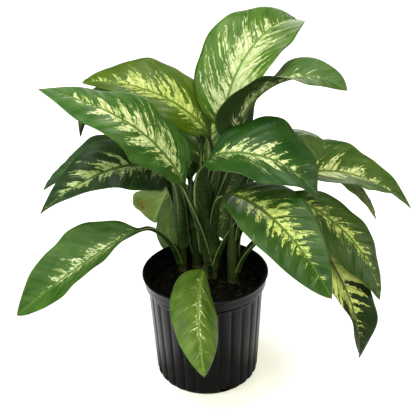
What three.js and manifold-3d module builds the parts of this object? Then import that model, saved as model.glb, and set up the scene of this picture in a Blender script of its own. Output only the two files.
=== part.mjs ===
// A potted dieffenbachia: a fluted black nursery pot filled with potting soil, four canes that stand in it,
// and twenty-four variegated leaves, each grown in one piece with its winged leaf stalk (petiole).
// Millimetres, +Z up, the origin at the centre of the pot's flat underside. The photo looks along +Y.

import * as THREE from 'three';
import { mergeVertices } from 'three/addons/utils/BufferGeometryUtils.js';
import Module from 'manifold-3d';

const wasm = await Module();
wasm.setup();

// ---------------------------------------------------------------- driving dimensions

const GAP = 0.3; // clearance between pieces that touch on the real plant

const POT = {
  height: 218,
  rimRadius: 117.5,
  lipRadius: 2.6, // the rolled lip is a bead
  collarBottom: 194, // below the collar the wall steps in
  collarTaper: 1.6,
  shoulderRadius: 108, // outer radius just under the collar
  baseRadius: 99,
  bottomChamfer: 5,
  fluteTop: 182,
  fluteFade: 7, // height over which a flute runs out under the shoulder
  fluteCount: 28,
  fluteDepth: 2.2,
  pointsPerFlute: 4,
  wall: 1.9,
  floor: 3,
};

const DRAIN = { count: 4, firstAzimuth: -70, width: 21, height: 13, depth: 16 };

const SOIL = { top: 181, crown: 5, lump: 2.2, rings: 6, sides: 36 };

const STEM_HOLE_DEPTH = 70; // how far the canes go down into the soil

// Each cane leans from its foot, on the soil, to its tip.
const CANES = {
  middle: { foot: [11, 23], tip: [8, 8], tipHeight: 400, footRadius: 12, tipRadius: 8.5 },
  left: { foot: [-46, 58], tip: [-42, 50], tipHeight: 330, footRadius: 10, tipRadius: 7 },
  back: { foot: [-16, 64], tip: [-22, 60], tipHeight: 378, footRadius: 10, tipRadius: 7 },
  right: { foot: [53, 8], tip: [50, 10], tipHeight: 335, footRadius: 11, tipRadius: 8 },
};

const CANE_SIDES = 12;
const SCAR_COUNT = 4; // rings where old leaves have fallen
const SCAR_SPACING = 12;
const SCAR_HEIGHT = 0.9;
const SPEAR_LENGTH = 36; // the furled young leaf that each cane ends in

// A leaf's path: the petiole leaves its cane at rootHeight, on the side rootAzimuth faces, and runs to
// `base`, where the blade starts. The blade's midrib sets off at `heading` (degrees from +X, seen from
// above) and `rise` (degrees above level), and turns evenly to heading + sweep and to `fall` at its tip.
// `roll` and `twist` turn the blade about its midrib, `fold` lifts both halves like a V, `cup` bends the
// margins back down, `widest` says where along the left and the right half the blade is widest, and `wave`
// is the height of the margin's waves as a share of the half width, with `phase` saying where along the
// blade they start.
// `stalk`, where given, makes the petiole wider or narrower than the plant's usual one.
const LEAVES = [
  {
    name: 'leaf_crown_top', cane: 'middle', rootHeight: 345, rootAzimuth: 30, arrive: 0.5,
    base: [40, 30, 477], heading: 28, length: 298, rise: 92, fall: -14, sweep: 27,
    width: 152, roll: 4, twist: 16, fold: 0.34, cup: 0.01, widest: [0.4, 0.42], wave: 0.06, phase: 0.9,
  },
  {
    name: 'leaf_crown_right', cane: 'middle', rootHeight: 310, rootAzimuth: -10, arrive: 0.5,
    base: [58, -22, 470], heading: 0, length: 240, rise: 90, fall: -35, sweep: -15,
    width: 120, roll: -60, twist: 100, fold: 0.35, cup: 0.1, widest: [0.44, 0.4], wave: 0.06, phase: 0.6,
  },
  {
    name: 'leaf_crown_left', cane: 'middle', rootHeight: 285, rootAzimuth: 130, arrive: 0.5,
    base: [10, 53, 465], heading: 190, length: 250, rise: 55, fall: -10, sweep: -25,
    width: 135, roll: -40, twist: 30, fold: 0.4, cup: 0.15, widest: [0.42, 0.46], wave: 0.06, phase: 0.4,
  },
  {
    name: 'leaf_front_right', cane: 'middle', rootHeight: 240, rootAzimuth: -95, arrive: 0.5,
    base: [12, -62, 458], heading: -35, length: 210, rise: 30, fall: -65, sweep: 45,
    width: 140, roll: 25, twist: -5, fold: 0.45, cup: 0.15, widest: [0.48, 0.44], wave: 0.08, phase: 0.1,
    stalk: 1.8,
  },
  {
    name: 'leaf_front_left', cane: 'middle', rootHeight: 222, rootAzimuth: -140, arrive: 0.5,
    base: [-34, -56, 417], heading: 220, length: 285, rise: 65, fall: 15, sweep: -30,
    width: 125, roll: -65, twist: 50, fold: 0.3, cup: 0.2, widest: [0.52, 0.3], wave: 0.1, phase: 0.7,
  },
  {
    name: 'leaf_front_small', cane: 'middle', rootHeight: 190, rootAzimuth: -95, arrive: 0.5,
    base: [-2, -80, 260], heading: -100, length: 215, rise: 5, fall: -40, sweep: 20,
    width: 85, roll: -40, twist: 25, fold: 0, cup: 0.35, widest: [0.48, 0.42], wave: 0.04, phase: 0.25,
    stalk: 0.5,
  },
  {
    name: 'leaf_right_drooping', cane: 'middle', rootHeight: 205, rootAzimuth: -30, arrive: 0,
    base: [150, 0, 362], heading: -30, length: 265, rise: -10, fall: -80, sweep: 15,
    width: 110, roll: 20, twist: 5, fold: 0.2, cup: 0.3, widest: [0.4, 0.38], wave: 0.06, phase: 0.8,
  },
  {
    name: 'leaf_right_front', cane: 'middle', rootHeight: 262, rootAzimuth: -50, arrive: 0.5,
    base: [40, -65, 396], heading: -60, length: 280, rise: 15, fall: -40, sweep: 0,
    width: 105, roll: 10, twist: 15, fold: 0.4, cup: 0.15, widest: [0.38, 0.5], wave: 0.04, phase: 0.2,
  },
  {
    name: 'leaf_right_curled', cane: 'right', rootHeight: 275, rootAzimuth: 0, arrive: 0.5,
    base: [105, 0, 452], heading: 35, length: 185, rise: 47, fall: -112, sweep: 15,
    width: 110, roll: -8, twist: 4, fold: 0.2, cup: 0.3, widest: [0.44, 0.41], wave: 0.06, phase: 0.29,
  },
  {
    name: 'leaf_right_far', cane: 'right', rootHeight: 255, rootAzimuth: 40, arrive: 0.5,
    base: [182, 65, 378], heading: 25, length: 265, rise: 0, fall: -45, sweep: -30,
    width: 140, roll: 25, twist: -15, fold: 0.4, cup: 0.05, widest: [0.34, 0.44], wave: 0.04, phase: 0.25,
  },
  {
    name: 'leaf_right_under', cane: 'right', rootHeight: 232, rootAzimuth: 80, arrive: 0.5,
    base: [176, 127, 373], heading: 0, length: 225, rise: 0, fall: -70, sweep: -5,
    width: 90, roll: -5, twist: 20, fold: 0.25, cup: 0.25, widest: [0.4, 0.42], wave: 0.02, phase: 0.05,
  },
  {
    name: 'leaf_right_low', cane: 'right', rootHeight: 205, rootAzimuth: -10, arrive: 0.2,
    base: [182, -5, 302], heading: -55, length: 270, rise: -25, fall: -90, sweep: 20,
    width: 95, roll: 0, twist: 5, fold: 0.5, cup: 0.05, widest: [0.46, 0.4], wave: 0.14, phase: 0.3,
  },
  {
    name: 'leaf_left_middle', cane: 'left', rootHeight: 235, rootAzimuth: -80, arrive: 0.5,
    base: [-60, -25, 428], heading: 230, length: 255, rise: 30, fall: -30, sweep: -10,
    width: 110, roll: -65, twist: 80, fold: 0.35, cup: 0.25, widest: [0.32, 0.42], wave: 0.04, phase: 0.65,
  },
  {
    name: 'leaf_left_low', cane: 'left', rootHeight: 200, rootAzimuth: 220, arrive: 0.3,
    base: [-124, -5, 302], heading: 205, length: 255, rise: -20, fall: -35, sweep: -5,
    width: 115, roll: 0, twist: -35, fold: 0.5, cup: -0.05, widest: [0.46, 0.38], wave: 0.06, phase: 0.05,
    stalk: 0.75,
  },
  {
    name: 'leaf_left_arching', cane: 'left', rootHeight: 262, rootAzimuth: 200, arrive: 0.5,
    base: [-74, 14, 412], heading: 160, length: 260, rise: 22, fall: -50, sweep: 12,
    width: 126, roll: -34, twist: 26, fold: 0.3, cup: 0.22, widest: [0.47, 0.46], wave: 0.06, phase: 0.45,
  },
  {
    name: 'leaf_left_upper', cane: 'back', rootHeight: 275, rootAzimuth: 215, arrive: 0.5,
    base: [0, 75, 425], heading: 166, length: 328, rise: 79, fall: -73, sweep: 1,
    width: 110, roll: -1, twist: -21, fold: 0.44, cup: 0.02, widest: [0.43, 0.58], wave: 0.1, phase: 0.68,
  },
  {
    name: 'leaf_left_yellowing', cane: 'back', rootHeight: 248, rootAzimuth: 150, arrive: 0.5,
    base: [-56, 98, 355], heading: 120, length: 188, rise: -44, fall: -54, sweep: -9,
    width: 124, roll: 15, twist: 5, fold: 0.25, cup: 0.2, widest: [0.44, 0.42], wave: 0.07, phase: 0.16,
  },
  {
    name: 'leaf_left_hanging', cane: 'back', rootHeight: 220, rootAzimuth: 170, arrive: 0.5,
    base: [-62, 95, 326], heading: 100, length: 175, rise: -60, fall: -78, sweep: 10,
    width: 78, roll: -10, twist: -5, fold: 0, cup: 0.4, widest: [0.4, 0.44], wave: 0.08, phase: 0.05,
  },
  {
    name: 'leaf_back_top', cane: 'middle', rootHeight: 320, rootAzimuth: 75, arrive: 0.5,
    base: [6, 100, 384], heading: 88, length: 245, rise: 62, fall: -50, sweep: -10,
    width: 118, roll: 0, twist: 0, fold: 0.3, cup: 0.15, widest: [0.42, 0.42], wave: 0.08, phase: 0.2,
  },
  {
    name: 'leaf_back_left', cane: 'back', rootHeight: 290, rootAzimuth: 110, arrive: 0.5,
    base: [-26, 104, 362], heading: 122, length: 240, rise: 58, fall: -60, sweep: 0,
    width: 112, roll: 0, twist: 0, fold: 0.3, cup: 0.15, widest: [0.42, 0.42], wave: 0.1, phase: 0.6,
  },
  {
    name: 'leaf_back_right', cane: 'right', rootHeight: 290, rootAzimuth: 60, arrive: 0.5,
    base: [100, 90, 400], heading: 60, length: 245, rise: 30, fall: -60, sweep: -10,
    width: 110, roll: 0, twist: 0, fold: 0.3, cup: 0.15, widest: [0.42, 0.42], wave: 0.08, phase: 0.4,
  },
  {
    name: 'leaf_back_low', cane: 'middle', rootHeight: 258, rootAzimuth: 85, arrive: 0.5,
    base: [42, 94, 378], heading: 92, length: 235, rise: -38, fall: -88, sweep: 0,
    width: 126, roll: 0, twist: 0, fold: 0.3, cup: 0.15, widest: [0.42, 0.42], wave: 0.08, phase: 0.9,
  },
  {
    name: 'leaf_back_left_low', cane: 'left', rootHeight: 285, rootAzimuth: 140, arrive: 0.5,
    base: [-104, 74, 402], heading: 158, length: 215, rise: 15, fall: -60, sweep: 0,
    width: 105, roll: 0, twist: 0, fold: 0.3, cup: 0.15, widest: [0.42, 0.42], wave: 0.1, phase: 0.3,
  },
  {
    name: 'leaf_back_right_low', cane: 'right', rootHeight: 212, rootAzimuth: 70, arrive: 0.5,
    base: [90, 100, 320], heading: 40, length: 220, rise: 0, fall: -80, sweep: 0,
    width: 100, roll: 0, twist: 0, fold: 0.3, cup: 0.15, widest: [0.42, 0.42], wave: 0.1, phase: 0.3,
  },
];

const BLADE = {
  stations: 11, // sections along the blade, past the petiole's end
  taper: 1.5, // how quickly the blade narrows towards base and tip
  tipHalfWidth: 0.9,
  edge: 0.9, // thickness at the margin
  middle: 1.2, // thickness beside the midrib
  rib: 4.5, // depth of the midrib at the blade's base; it runs out to the blade's thickness at the tip
  wavesPerLength: 2.5,
  waveLag: 0.35, // the right margin waves this share of a wave later than the left one
};

const PETIOLE = {
  stations: 7,
  rootHalfWidth: 12, // the sheath that wraps the cane
  endHalfWidth: 4.8,
  rootDepth: 3.6,
  endDepth: 6,
  sheathCurl: 0.42, // how far the sheath's wings curl round the cane, as a share of the half width
  sheathShare: 0.9, // how much of the petiole is winged
  edge: 0.8,
};

const ACROSS = [-1, -0.5, 0, 0.5, 1]; // where the sections have points, from the right to the left margin

const COLOURS = {
  pot: 0x1c1d1e,
  soil: 0x2a1f18,
  cane: 0x7a7a48,
  leafPale: 0x8fae5c,
  leafMid: 0x4f8040,
  leafDark: 0x365f2f,
  leafYellow: 0x93a75a,
};

// ---------------------------------------------------------------- small helpers

const rad = THREE.MathUtils.degToRad;
const lerp = THREE.MathUtils.lerp;
const UP = new THREE.Vector3(0, 0, 1);

function along(heading, elevation) {
  return new THREE.Vector3(
    Math.cos(elevation) * Math.cos(heading),
    Math.cos(elevation) * Math.sin(heading),
    Math.sin(elevation),
  );
}

function toSolid(geometry) {
  const bare = geometry.clone();
  bare.deleteAttribute('normal');
  bare.deleteAttribute('uv');
  const merged = mergeVertices(bare, 1e-4);
  return new wasm.Manifold(new wasm.Mesh({
    numProp: 3,
    vertProperties: new Float32Array(merged.attributes.position.array),
    triVerts: new Uint32Array(merged.index.array),
  }));
}

function toGeometry(solid) {
  const mesh = solid.getMesh();
  const geometry = new THREE.BufferGeometry();
  geometry.setAttribute('position', new THREE.BufferAttribute(new Float32Array(mesh.vertProperties), 3));
  geometry.setIndex(new THREE.BufferAttribute(new Uint32Array(mesh.triVerts), 1));
  return geometry;
}

function largestPiece(solid) {
  const pieces = solid.decompose();
  return pieces.reduce((best, piece) => (piece.volume() > best.volume() ? piece : best));
}

// A closed skin over a row of sections, each a thin ring: out along one face and back along the other.
// The quads from `mirrorFrom` on are split along their other diagonal, so that both faces are split alike.
function loft(sections, mirrorFrom = Infinity) {
  const sides = sections[0].length;
  const positions = sections.flat().flatMap((point) => point.toArray());
  const index = [];
  for (let s = 0; s < sections.length - 1; s += 1) {
    for (let i = 0; i < sides; i += 1) {
      const a = s * sides + i;
      const b = s * sides + ((i + 1) % sides);
      const c = b + sides;
      const d = a + sides;
      if (i >= mirrorFrom) index.push(a, d, b, b, d, c);
      else index.push(a, c, b, a, d, c);
    }
  }
  const last = (sections.length - 1) * sides;
  for (let i = 0; i < sides / 2 - 1; i += 1) {
    const [a, b, c, d] = [i, i + 1, sides - 2 - i, sides - 1 - i];
    index.push(a, b, c, a, c, d);
    index.push(last + a, last + c, last + b, last + a, last + d, last + c);
  }
  const geometry = new THREE.BufferGeometry();
  geometry.setAttribute('position', new THREE.Float32BufferAttribute(positions, 3));
  geometry.setIndex(index);
  return geometry;
}

// A profile of [radius, height] pairs turned about Z.
function turned(profile, sides) {
  const points = profile.map(([radius, height]) => new THREE.Vector2(radius, height));
  return new THREE.LatheGeometry(points, sides).rotateX(Math.PI / 2);
}

function reshape(geometry, move) {
  const place = new THREE.Vector3();
  const positions = geometry.attributes.position;
  for (let i = 0; i < positions.count; i += 1) {
    place.fromBufferAttribute(positions, i);
    move(place);
    positions.setXYZ(i, place.x, place.y, place.z);
  }
  return geometry;
}

// ---------------------------------------------------------------- pot

function outerRadius(height) {
  return lerp(POT.baseRadius, POT.shoulderRadius, height / POT.collarBottom);
}

function innerRadius(height) {
  return outerRadius(height) - POT.fluteDepth - POT.wall;
}

// How deep the wall is pressed in at an angle: a narrow valley between broad rounded panels.
function fluteDepthAt(angle) {
  const turn = (angle / (2 * Math.PI)) * POT.fluteCount;
  const fromValley = Math.abs(turn - Math.round(turn)) * 2;
  return POT.fluteDepth * (1 - Math.min(1, fromValley * 2)) + 0.35 * (1 - fromValley);
}

function potGeometry() {
  const { height, rimRadius, lipRadius, collarBottom, collarTaper } = POT;
  const collarTop = rimRadius - lipRadius;
  const profile = [
    [0, 0],
    [POT.baseRadius - POT.bottomChamfer, 0],
    [outerRadius(POT.bottomChamfer), POT.bottomChamfer],
    [outerRadius(POT.fluteTop - POT.fluteFade), POT.fluteTop - POT.fluteFade],
    [outerRadius(POT.fluteTop), POT.fluteTop],
    [outerRadius(collarBottom), collarBottom],
    [collarTop - collarTaper, collarBottom + 2],
    [collarTop, height - 2 * lipRadius - 1],
    [rimRadius, height - 1.5 * lipRadius],
    [rimRadius, height - 0.5 * lipRadius],
    [rimRadius - lipRadius, height],
    [rimRadius - 2 * lipRadius, height - 0.7 * lipRadius],
    [collarTop - collarTaper - POT.wall, collarBottom + 4],
    [innerRadius(collarBottom) + 1, collarBottom + 1],
    [innerRadius(POT.floor), POT.floor],
    [0, POT.floor],
  ];
  const pot = turned(profile, POT.fluteCount * POT.pointsPerFlute);
  return reshape(pot, (place) => {
    const radius = Math.hypot(place.x, place.y);
    const onFlutedWall = place.z > 0 && place.z < POT.fluteTop - POT.fluteFade + 0.1
      && radius > outerRadius(place.z) - 0.1;
    if (!onFlutedWall) return;
    const scale = 1 - fluteDepthAt(Math.atan2(place.y, place.x)) / radius;
    place.x *= scale;
    place.y *= scale;
  });
}

function drainHoles() {
  const cutters = [];
  for (let i = 0; i < DRAIN.count; i += 1) {
    const azimuth = rad(DRAIN.firstAzimuth + (360 / DRAIN.count) * i);
    const cutter = new THREE.CylinderGeometry(0.5, 0.5, DRAIN.depth, 12).rotateZ(Math.PI / 2);
    cutter.scale(1, DRAIN.width, DRAIN.height);
    cutter.translate(POT.baseRadius - DRAIN.depth / 2 + 3, 0, POT.floor + 3);
    cutter.rotateZ(azimuth);
    cutters.push(toSolid(cutter));
  }
  return cutters.reduce((all, cutter) => all.add(cutter));
}

// ---------------------------------------------------------------- canes

function caneCentre(cane, height) {
  const share = (height - SOIL.top) / (cane.tipHeight - SOIL.top);
  return new THREE.Vector3(
    lerp(cane.foot[0], cane.tip[0], share),
    lerp(cane.foot[1], cane.tip[1], share),
    height,
  );
}

function caneRadius(cane, height) {
  const share = Math.max(0, (height - SOIL.top) / (cane.tipHeight - SOIL.top));
  return lerp(cane.footRadius, cane.tipRadius, share);
}

function caneGeometry(cane, grow = 0) {
  const bottom = SOIL.top - STEM_HOLE_DEPTH - grow;
  const top = cane.tipHeight + grow;
  const profile = [[0, bottom], [cane.footRadius + grow, bottom]];
  for (let ring = 0; ring < SCAR_COUNT; ring += 1) {
    const height = SOIL.top + SCAR_SPACING * (ring + 0.5);
    profile.push([caneRadius(cane, height) + grow, height - 2]);
    profile.push([caneRadius(cane, height) + SCAR_HEIGHT + grow, height]);
    profile.push([caneRadius(cane, height) + grow, height + 2]);
  }
  profile.push([caneRadius(cane, cane.tipHeight - SPEAR_LENGTH) + grow, cane.tipHeight - SPEAR_LENGTH]);
  profile.push([cane.tipRadius * 0.65 + grow, cane.tipHeight - SPEAR_LENGTH / 2]);
  profile.push([cane.tipRadius * 0.15 + grow, top]);
  profile.push([0, top]);
  return reshape(turned(profile, CANE_SIDES), (place) => {
    const centre = caneCentre(cane, place.z);
    place.x += centre.x;
    place.y += centre.y;
  });
}

// ---------------------------------------------------------------- leaves

function bladeShape(share, widest) {
  const rising = BLADE.taper * widest;
  const falling = BLADE.taper - rising;
  const peak = widest ** rising * (1 - widest) ** falling;
  return (share ** rising * (1 - share) ** falling) / peak;
}

// The blade's midrib: centre, along, side and normal at every station.
function midrib(leaf) {
  const steps = 4; // fine steps between stations, so that the arc has its true length
  const count = BLADE.stations * steps;
  const place = new THREE.Vector3(...leaf.base);
  const stations = [];
  for (let i = 0; i <= count; i += 1) {
    const share = i / count;
    if (i % steps === 0) {
      const heading = rad(leaf.heading + leaf.sweep * share);
      const tangent = along(heading, rad(lerp(leaf.rise, leaf.fall, share)));
      const level = new THREE.Vector3(-Math.sin(heading), Math.cos(heading), 0);
      const angle = rad(leaf.roll + leaf.twist * share);
      const side = level.clone().applyAxisAngle(tangent, angle);
      const normal = new THREE.Vector3().crossVectors(tangent, side);
      stations.push({ share, centre: place.clone(), tangent, side, normal });
    }
    const middle = (i + 0.5) / count;
    const heading = rad(leaf.heading + leaf.sweep * middle);
    const elevation = rad(lerp(leaf.rise, leaf.fall, middle));
    place.addScaledVector(along(heading, elevation), leaf.length / count);
  }
  return stations;
}

// The petiole: a curve from the cane to the blade, its channel facing the cane first and up at the blade.
function petiolePath(leaf, bladeStart) {
  const cane = CANES[leaf.cane];
  const azimuth = rad(leaf.rootAzimuth);
  const outward = along(azimuth, 0);
  const axis = caneCentre(cane, leaf.rootHeight);
  const reach = caneRadius(cane, leaf.rootHeight) + 1.4 * GAP;
  const root = axis.clone().addScaledVector(outward, reach);
  const base = new THREE.Vector3(...leaf.base);
  const span = root.distanceTo(base);
  const bearing = Math.atan2(base.y - axis.y, base.x - axis.x);
  const turn = Math.atan2(Math.sin(rad(leaf.heading) - bearing), Math.cos(rad(leaf.heading) - bearing));
  const arrival = along(bearing + turn * leaf.arrive, rad(leaf.rise));
  const curve = new THREE.CubicBezierCurve3(
    root,
    root.clone().addScaledVector(UP, span * 0.4).addScaledVector(outward, span * 0.05),
    base.clone().addScaledVector(arrival, -span * 0.3),
    base,
  );
  // The channel is carried along the curve without turning, and then turned evenly to meet the blade's.
  const carried = outward.clone().negate();
  const tangents = Array.from({ length: PETIOLE.stations }, (_, i) => curve.getTangent(i / PETIOLE.stations));
  const step = new THREE.Quaternion();
  const stations = tangents.map((tangent, i) => {
    step.setFromUnitVectors(tangents[Math.max(0, i - 1)], tangent);
    carried.applyQuaternion(step).addScaledVector(tangent, -carried.dot(tangent)).normalize();
    const share = i / PETIOLE.stations;
    return { share, centre: curve.getPoint(share), tangent, normal: carried.clone() };
  });
  step.setFromUnitVectors(tangents.at(-1), bladeStart.tangent);
  const atBlade = carried.clone().applyQuaternion(step);
  const across = new THREE.Vector3().crossVectors(bladeStart.tangent, atBlade);
  const leftToTurn = Math.atan2(bladeStart.normal.dot(across), bladeStart.normal.dot(atBlade));
  for (const station of stations) {
    station.normal.applyAxisAngle(station.tangent, leftToTurn * station.share);
    station.side = new THREE.Vector3().crossVectors(station.normal, station.tangent);
  }
  return stations;
}

function section(station, halfWidths, lift, depth) {
  const ring = [];
  const point = (across, drop) => {
    const half = across > 0 ? halfWidths[0] : halfWidths[1];
    return station.centre.clone()
      .addScaledVector(station.side, across * half)
      .addScaledVector(station.normal, lift(across, half) - drop);
  };
  for (const across of ACROSS) ring.push(point(across, 0));
  for (const across of [...ACROSS].reverse()) ring.push(point(across, depth(across)));
  return ring;
}

function petioleSection(leaf, station, grow = 0) {
  const winged = Math.max(0, 1 - station.share / PETIOLE.sheathShare) ** 0.7;
  const half = lerp(PETIOLE.endHalfWidth, PETIOLE.rootHalfWidth, winged) * (leaf.stalk ?? 1);
  const middle = lerp(PETIOLE.rootDepth, PETIOLE.endDepth, Math.min(1, station.share * 2));
  const curl = PETIOLE.sheathCurl * winged + 0.12;
  return section(
    station,
    [half + grow, half + grow],
    (across) => half * curl * across * across + grow,
    (across) => lerp(middle, PETIOLE.edge, across * across) + 2 * grow,
  );
}

function bladeSection(leaf, station) {
  const { share } = station;
  const narrowing = (1 - share) ** 9 * PETIOLE.endHalfWidth * (leaf.stalk ?? 1);
  const halfWidths = leaf.widest.map((widest) => {
    const half = (leaf.width / 2) * bladeShape(share, widest) + narrowing;
    return Math.max(half, BLADE.tipHalfWidth);
  });
  const rib = lerp(BLADE.rib, BLADE.middle, Math.sqrt(share));
  const atBase = (1 - share) ** 9;
  return section(
    station,
    halfWidths,
    (across, half) => {
      const out = Math.abs(across);
      const lag = across > 0 ? 0 : BLADE.waveLag;
      const wave = Math.sin(2 * Math.PI * (BLADE.wavesPerLength * share + leaf.phase + lag));
      return half * (leaf.fold * out + (leaf.wave * wave - leaf.cup) * out * out);
    },
    (across) => {
      const out = Math.abs(across);
      const thin = out === 1 ? BLADE.edge : BLADE.middle;
      return lerp(out === 0 ? rib : thin, PETIOLE.endDepth * (1 - 0.8 * out), atBase * 0.8);
    },
  );
}

function leafGeometry(leaf) {
  const blade = midrib(leaf);
  const petiole = petiolePath(leaf, blade[0]);
  const sections = [
    ...petiole.map((station) => petioleSection(leaf, station)),
    ...blade.map((station) => bladeSection(leaf, station)),
  ];
  return { whole: loft(sections, ACROSS.length), petiole };
}

// The petiole alone, a clearance larger all round: it is cut out of the leaves further up the cane.
function petioleClearance(leaf, petiole) {
  return toSolid(loft(petiole.map((station) => petioleSection(leaf, station, GAP)), ACROSS.length));
}

// ---------------------------------------------------------------- the whole plant

function finish(colour, roughness) {
  return new THREE.MeshStandardMaterial({ color: colour, roughness, metalness: 0, side: THREE.FrontSide });
}

function addMesh(group, name, geometry, material) {
  const mesh = new THREE.Mesh(geometry, material);
  mesh.name = name;
  group.add(mesh);
}

function soilGeometry() {
  const bottom = POT.floor + GAP;
  const profile = [[0, bottom], [innerRadius(bottom) - GAP, bottom]];
  const rim = innerRadius(SOIL.top) - GAP;
  for (let ring = 0; ring < SOIL.rings; ring += 1) {
    const share = ring / SOIL.rings;
    profile.push([rim * (1 - share), SOIL.top + SOIL.crown * share]);
  }
  profile.push([0, SOIL.top + SOIL.crown]);
  return reshape(turned(profile, SOIL.sides), (place) => {
    const radius = Math.hypot(place.x, place.y);
    if (place.z < SOIL.top - 1 || radius > rim - 1) return;
    const broad = Math.sin(place.x * 0.11 + 1.3) * Math.cos(place.y * 0.13);
    const small = Math.sin(place.x * 0.31 - place.y * 0.27);
    place.z += SOIL.lump * (broad + 0.6 * small) * Math.min(1, (rim - radius) / 20);
  });
}

const leafColours = {
  leaf_crown_top: COLOURS.leafPale,
  leaf_crown_left: COLOURS.leafPale,
  leaf_front_small: COLOURS.leafYellow,
  leaf_left_yellowing: COLOURS.leafYellow,
  leaf_left_middle: COLOURS.leafDark,
  leaf_left_arching: COLOURS.leafDark,
  leaf_left_upper: COLOURS.leafDark,
  leaf_right_under: COLOURS.leafDark,
};

const plant = new THREE.Group();

const potSolid = toSolid(potGeometry()).subtract(drainHoles());
addMesh(plant, 'pot', toGeometry(potSolid), finish(COLOURS.pot, 0.45));

let soilSolid = toSolid(soilGeometry());
let allTaken = potSolid;
for (const [name, cane] of Object.entries(CANES)) {
  const clearance = toSolid(caneGeometry(cane, GAP));
  soilSolid = soilSolid.subtract(clearance);
  allTaken = allTaken.add(clearance);
  addMesh(plant, `cane_${name}`, caneGeometry(cane), finish(COLOURS.cane, 0.7));
}
addMesh(plant, 'soil', toGeometry(soilSolid), finish(COLOURS.soil, 0.95));

const fromTheSoilUp = [...LEAVES].sort((a, b) => a.rootHeight - b.rootHeight);
for (const leaf of fromTheSoilUp) {
  const { whole, petiole } = leafGeometry(leaf);
  const solid = largestPiece(toSolid(whole).subtract(allTaken));
  allTaken = allTaken.add(petioleClearance(leaf, petiole));
  addMesh(plant, leaf.name, toGeometry(solid), finish(leafColours[leaf.name] ?? COLOURS.leafMid, 0.4));
}

export default plant;
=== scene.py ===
# %% [markdown]
# # A potted dieffenbachia
#
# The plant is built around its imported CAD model: twenty-four leaves on four canes, in soil, in a fluted black
# nursery pot. Each step below models one kind of piece the way a person would in Blender, says what it is on
# the real plant, and then gives it a finish made of shader nodes.

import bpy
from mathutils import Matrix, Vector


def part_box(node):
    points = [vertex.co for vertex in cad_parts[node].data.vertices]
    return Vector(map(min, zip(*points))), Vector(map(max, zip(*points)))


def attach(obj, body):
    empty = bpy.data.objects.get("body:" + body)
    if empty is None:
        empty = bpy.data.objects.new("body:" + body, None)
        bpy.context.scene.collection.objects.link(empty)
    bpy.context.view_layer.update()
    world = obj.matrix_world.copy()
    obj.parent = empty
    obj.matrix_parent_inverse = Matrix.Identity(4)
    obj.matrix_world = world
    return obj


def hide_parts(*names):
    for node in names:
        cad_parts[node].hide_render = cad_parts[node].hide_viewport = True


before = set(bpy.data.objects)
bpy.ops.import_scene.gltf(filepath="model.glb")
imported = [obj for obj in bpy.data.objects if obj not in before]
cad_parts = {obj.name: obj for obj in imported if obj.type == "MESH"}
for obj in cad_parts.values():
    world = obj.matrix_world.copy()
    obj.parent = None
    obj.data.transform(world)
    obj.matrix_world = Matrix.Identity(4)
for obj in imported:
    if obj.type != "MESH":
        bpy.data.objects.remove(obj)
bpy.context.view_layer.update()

# %% [markdown]
# ## Tools and measures
#
# Blender works in metres and the plant's measures are easier to read in millimetres, so every length that is
# modelled below is in millimetres and is multiplied by MM at the last moment. The pot's and the soil's sizes
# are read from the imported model, so that the dressed pieces can't drift away from it.

# %% Tools and measures
import math
from collections import namedtuple

import bpy
import numpy as np
from mathutils import Matrix, Vector

MM = 0.001
SEED = 7
SOIL_TOP = 181
rng = np.random.default_rng(SEED)

_, pot_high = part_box("pot")
soil_low, soil_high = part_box("soil")
POT_HEIGHT = pot_high.z / MM
RIM_RADIUS = pot_high.x / MM
SOIL_RADIUS = soil_high.x / MM
print(f"Pot {2 * RIM_RADIUS:.0f} mm wide and {POT_HEIGHT:.0f} mm high, soil {2 * SOIL_RADIUS:.0f} mm wide")


# %% [markdown]
# ## Helpers for modelling
#
# Blender's operators act on whatever is selected, and loading the model leaves its nodes selected. So each
# piece starts by deselecting everything. In edit mode the faces or edges to work on are picked in code, by
# their place or direction, which is what a click does by hand.

# %% Helpers for modelling
TINY = 1e-4  # less than any step on a piece that is still one unit long


def start_fresh():
    if bpy.context.object and bpy.context.object.mode != "OBJECT":
        bpy.ops.object.mode_set(mode="OBJECT")
    bpy.ops.object.select_all(action="DESELECT")


def activate(piece):
    """Selects one piece alone, as a click on it does."""
    start_fresh()
    bpy.context.view_layer.objects.active = piece
    piece.select_set(True)


def named(name):
    piece = bpy.context.object
    piece.name = name
    piece.data.name = name
    return piece


def new_piece(name, mesh):
    """Puts a mesh into the scene as a piece of its own."""
    mesh.name = name
    piece = bpy.data.objects.new(name, mesh)
    bpy.context.scene.collection.objects.link(piece)
    return piece


def pick(piece, kind, wanted):
    """Selects the vertices, edges or faces (`kind`) of a piece for which `wanted` is true."""
    bpy.ops.object.mode_set(mode="EDIT")
    mode = {"vertices": "VERT", "edges": "EDGE", "polygons": "FACE"}[kind]
    bpy.ops.mesh.select_mode(type=mode)
    bpy.ops.mesh.select_all(action="DESELECT")
    bpy.ops.object.mode_set(mode="OBJECT")
    for part in getattr(piece.data, kind):
        part.select = bool(wanted(part))
    bpy.ops.object.mode_set(mode="EDIT")


def add_rows(piece, cuts):
    """Cuts a tube's upright edges, and then their pieces again: one subdivision makes at most 100 cuts."""
    for number in cuts:
        heights = [vertex.co.z for vertex in piece.data.vertices]
        pick(piece, "edges", lambda edge: abs(heights[edge.vertices[0]] - heights[edge.vertices[1]]) > TINY)
        bpy.ops.mesh.subdivide(number_cuts=number)
        bpy.ops.object.mode_set(mode="OBJECT")


def places(piece):
    """The places of a piece's vertices, in millimetres, as an array of rows."""
    flat = np.empty(len(piece.data.vertices) * 3, np.float32)
    piece.data.vertices.foreach_get("co", flat)
    return flat.reshape(-1, 3).astype(float) / MM


def move_to(piece, rows):
    piece.data.vertices.foreach_set("co", (rows * MM).astype(np.float32).ravel())
    piece.data.update()


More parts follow.
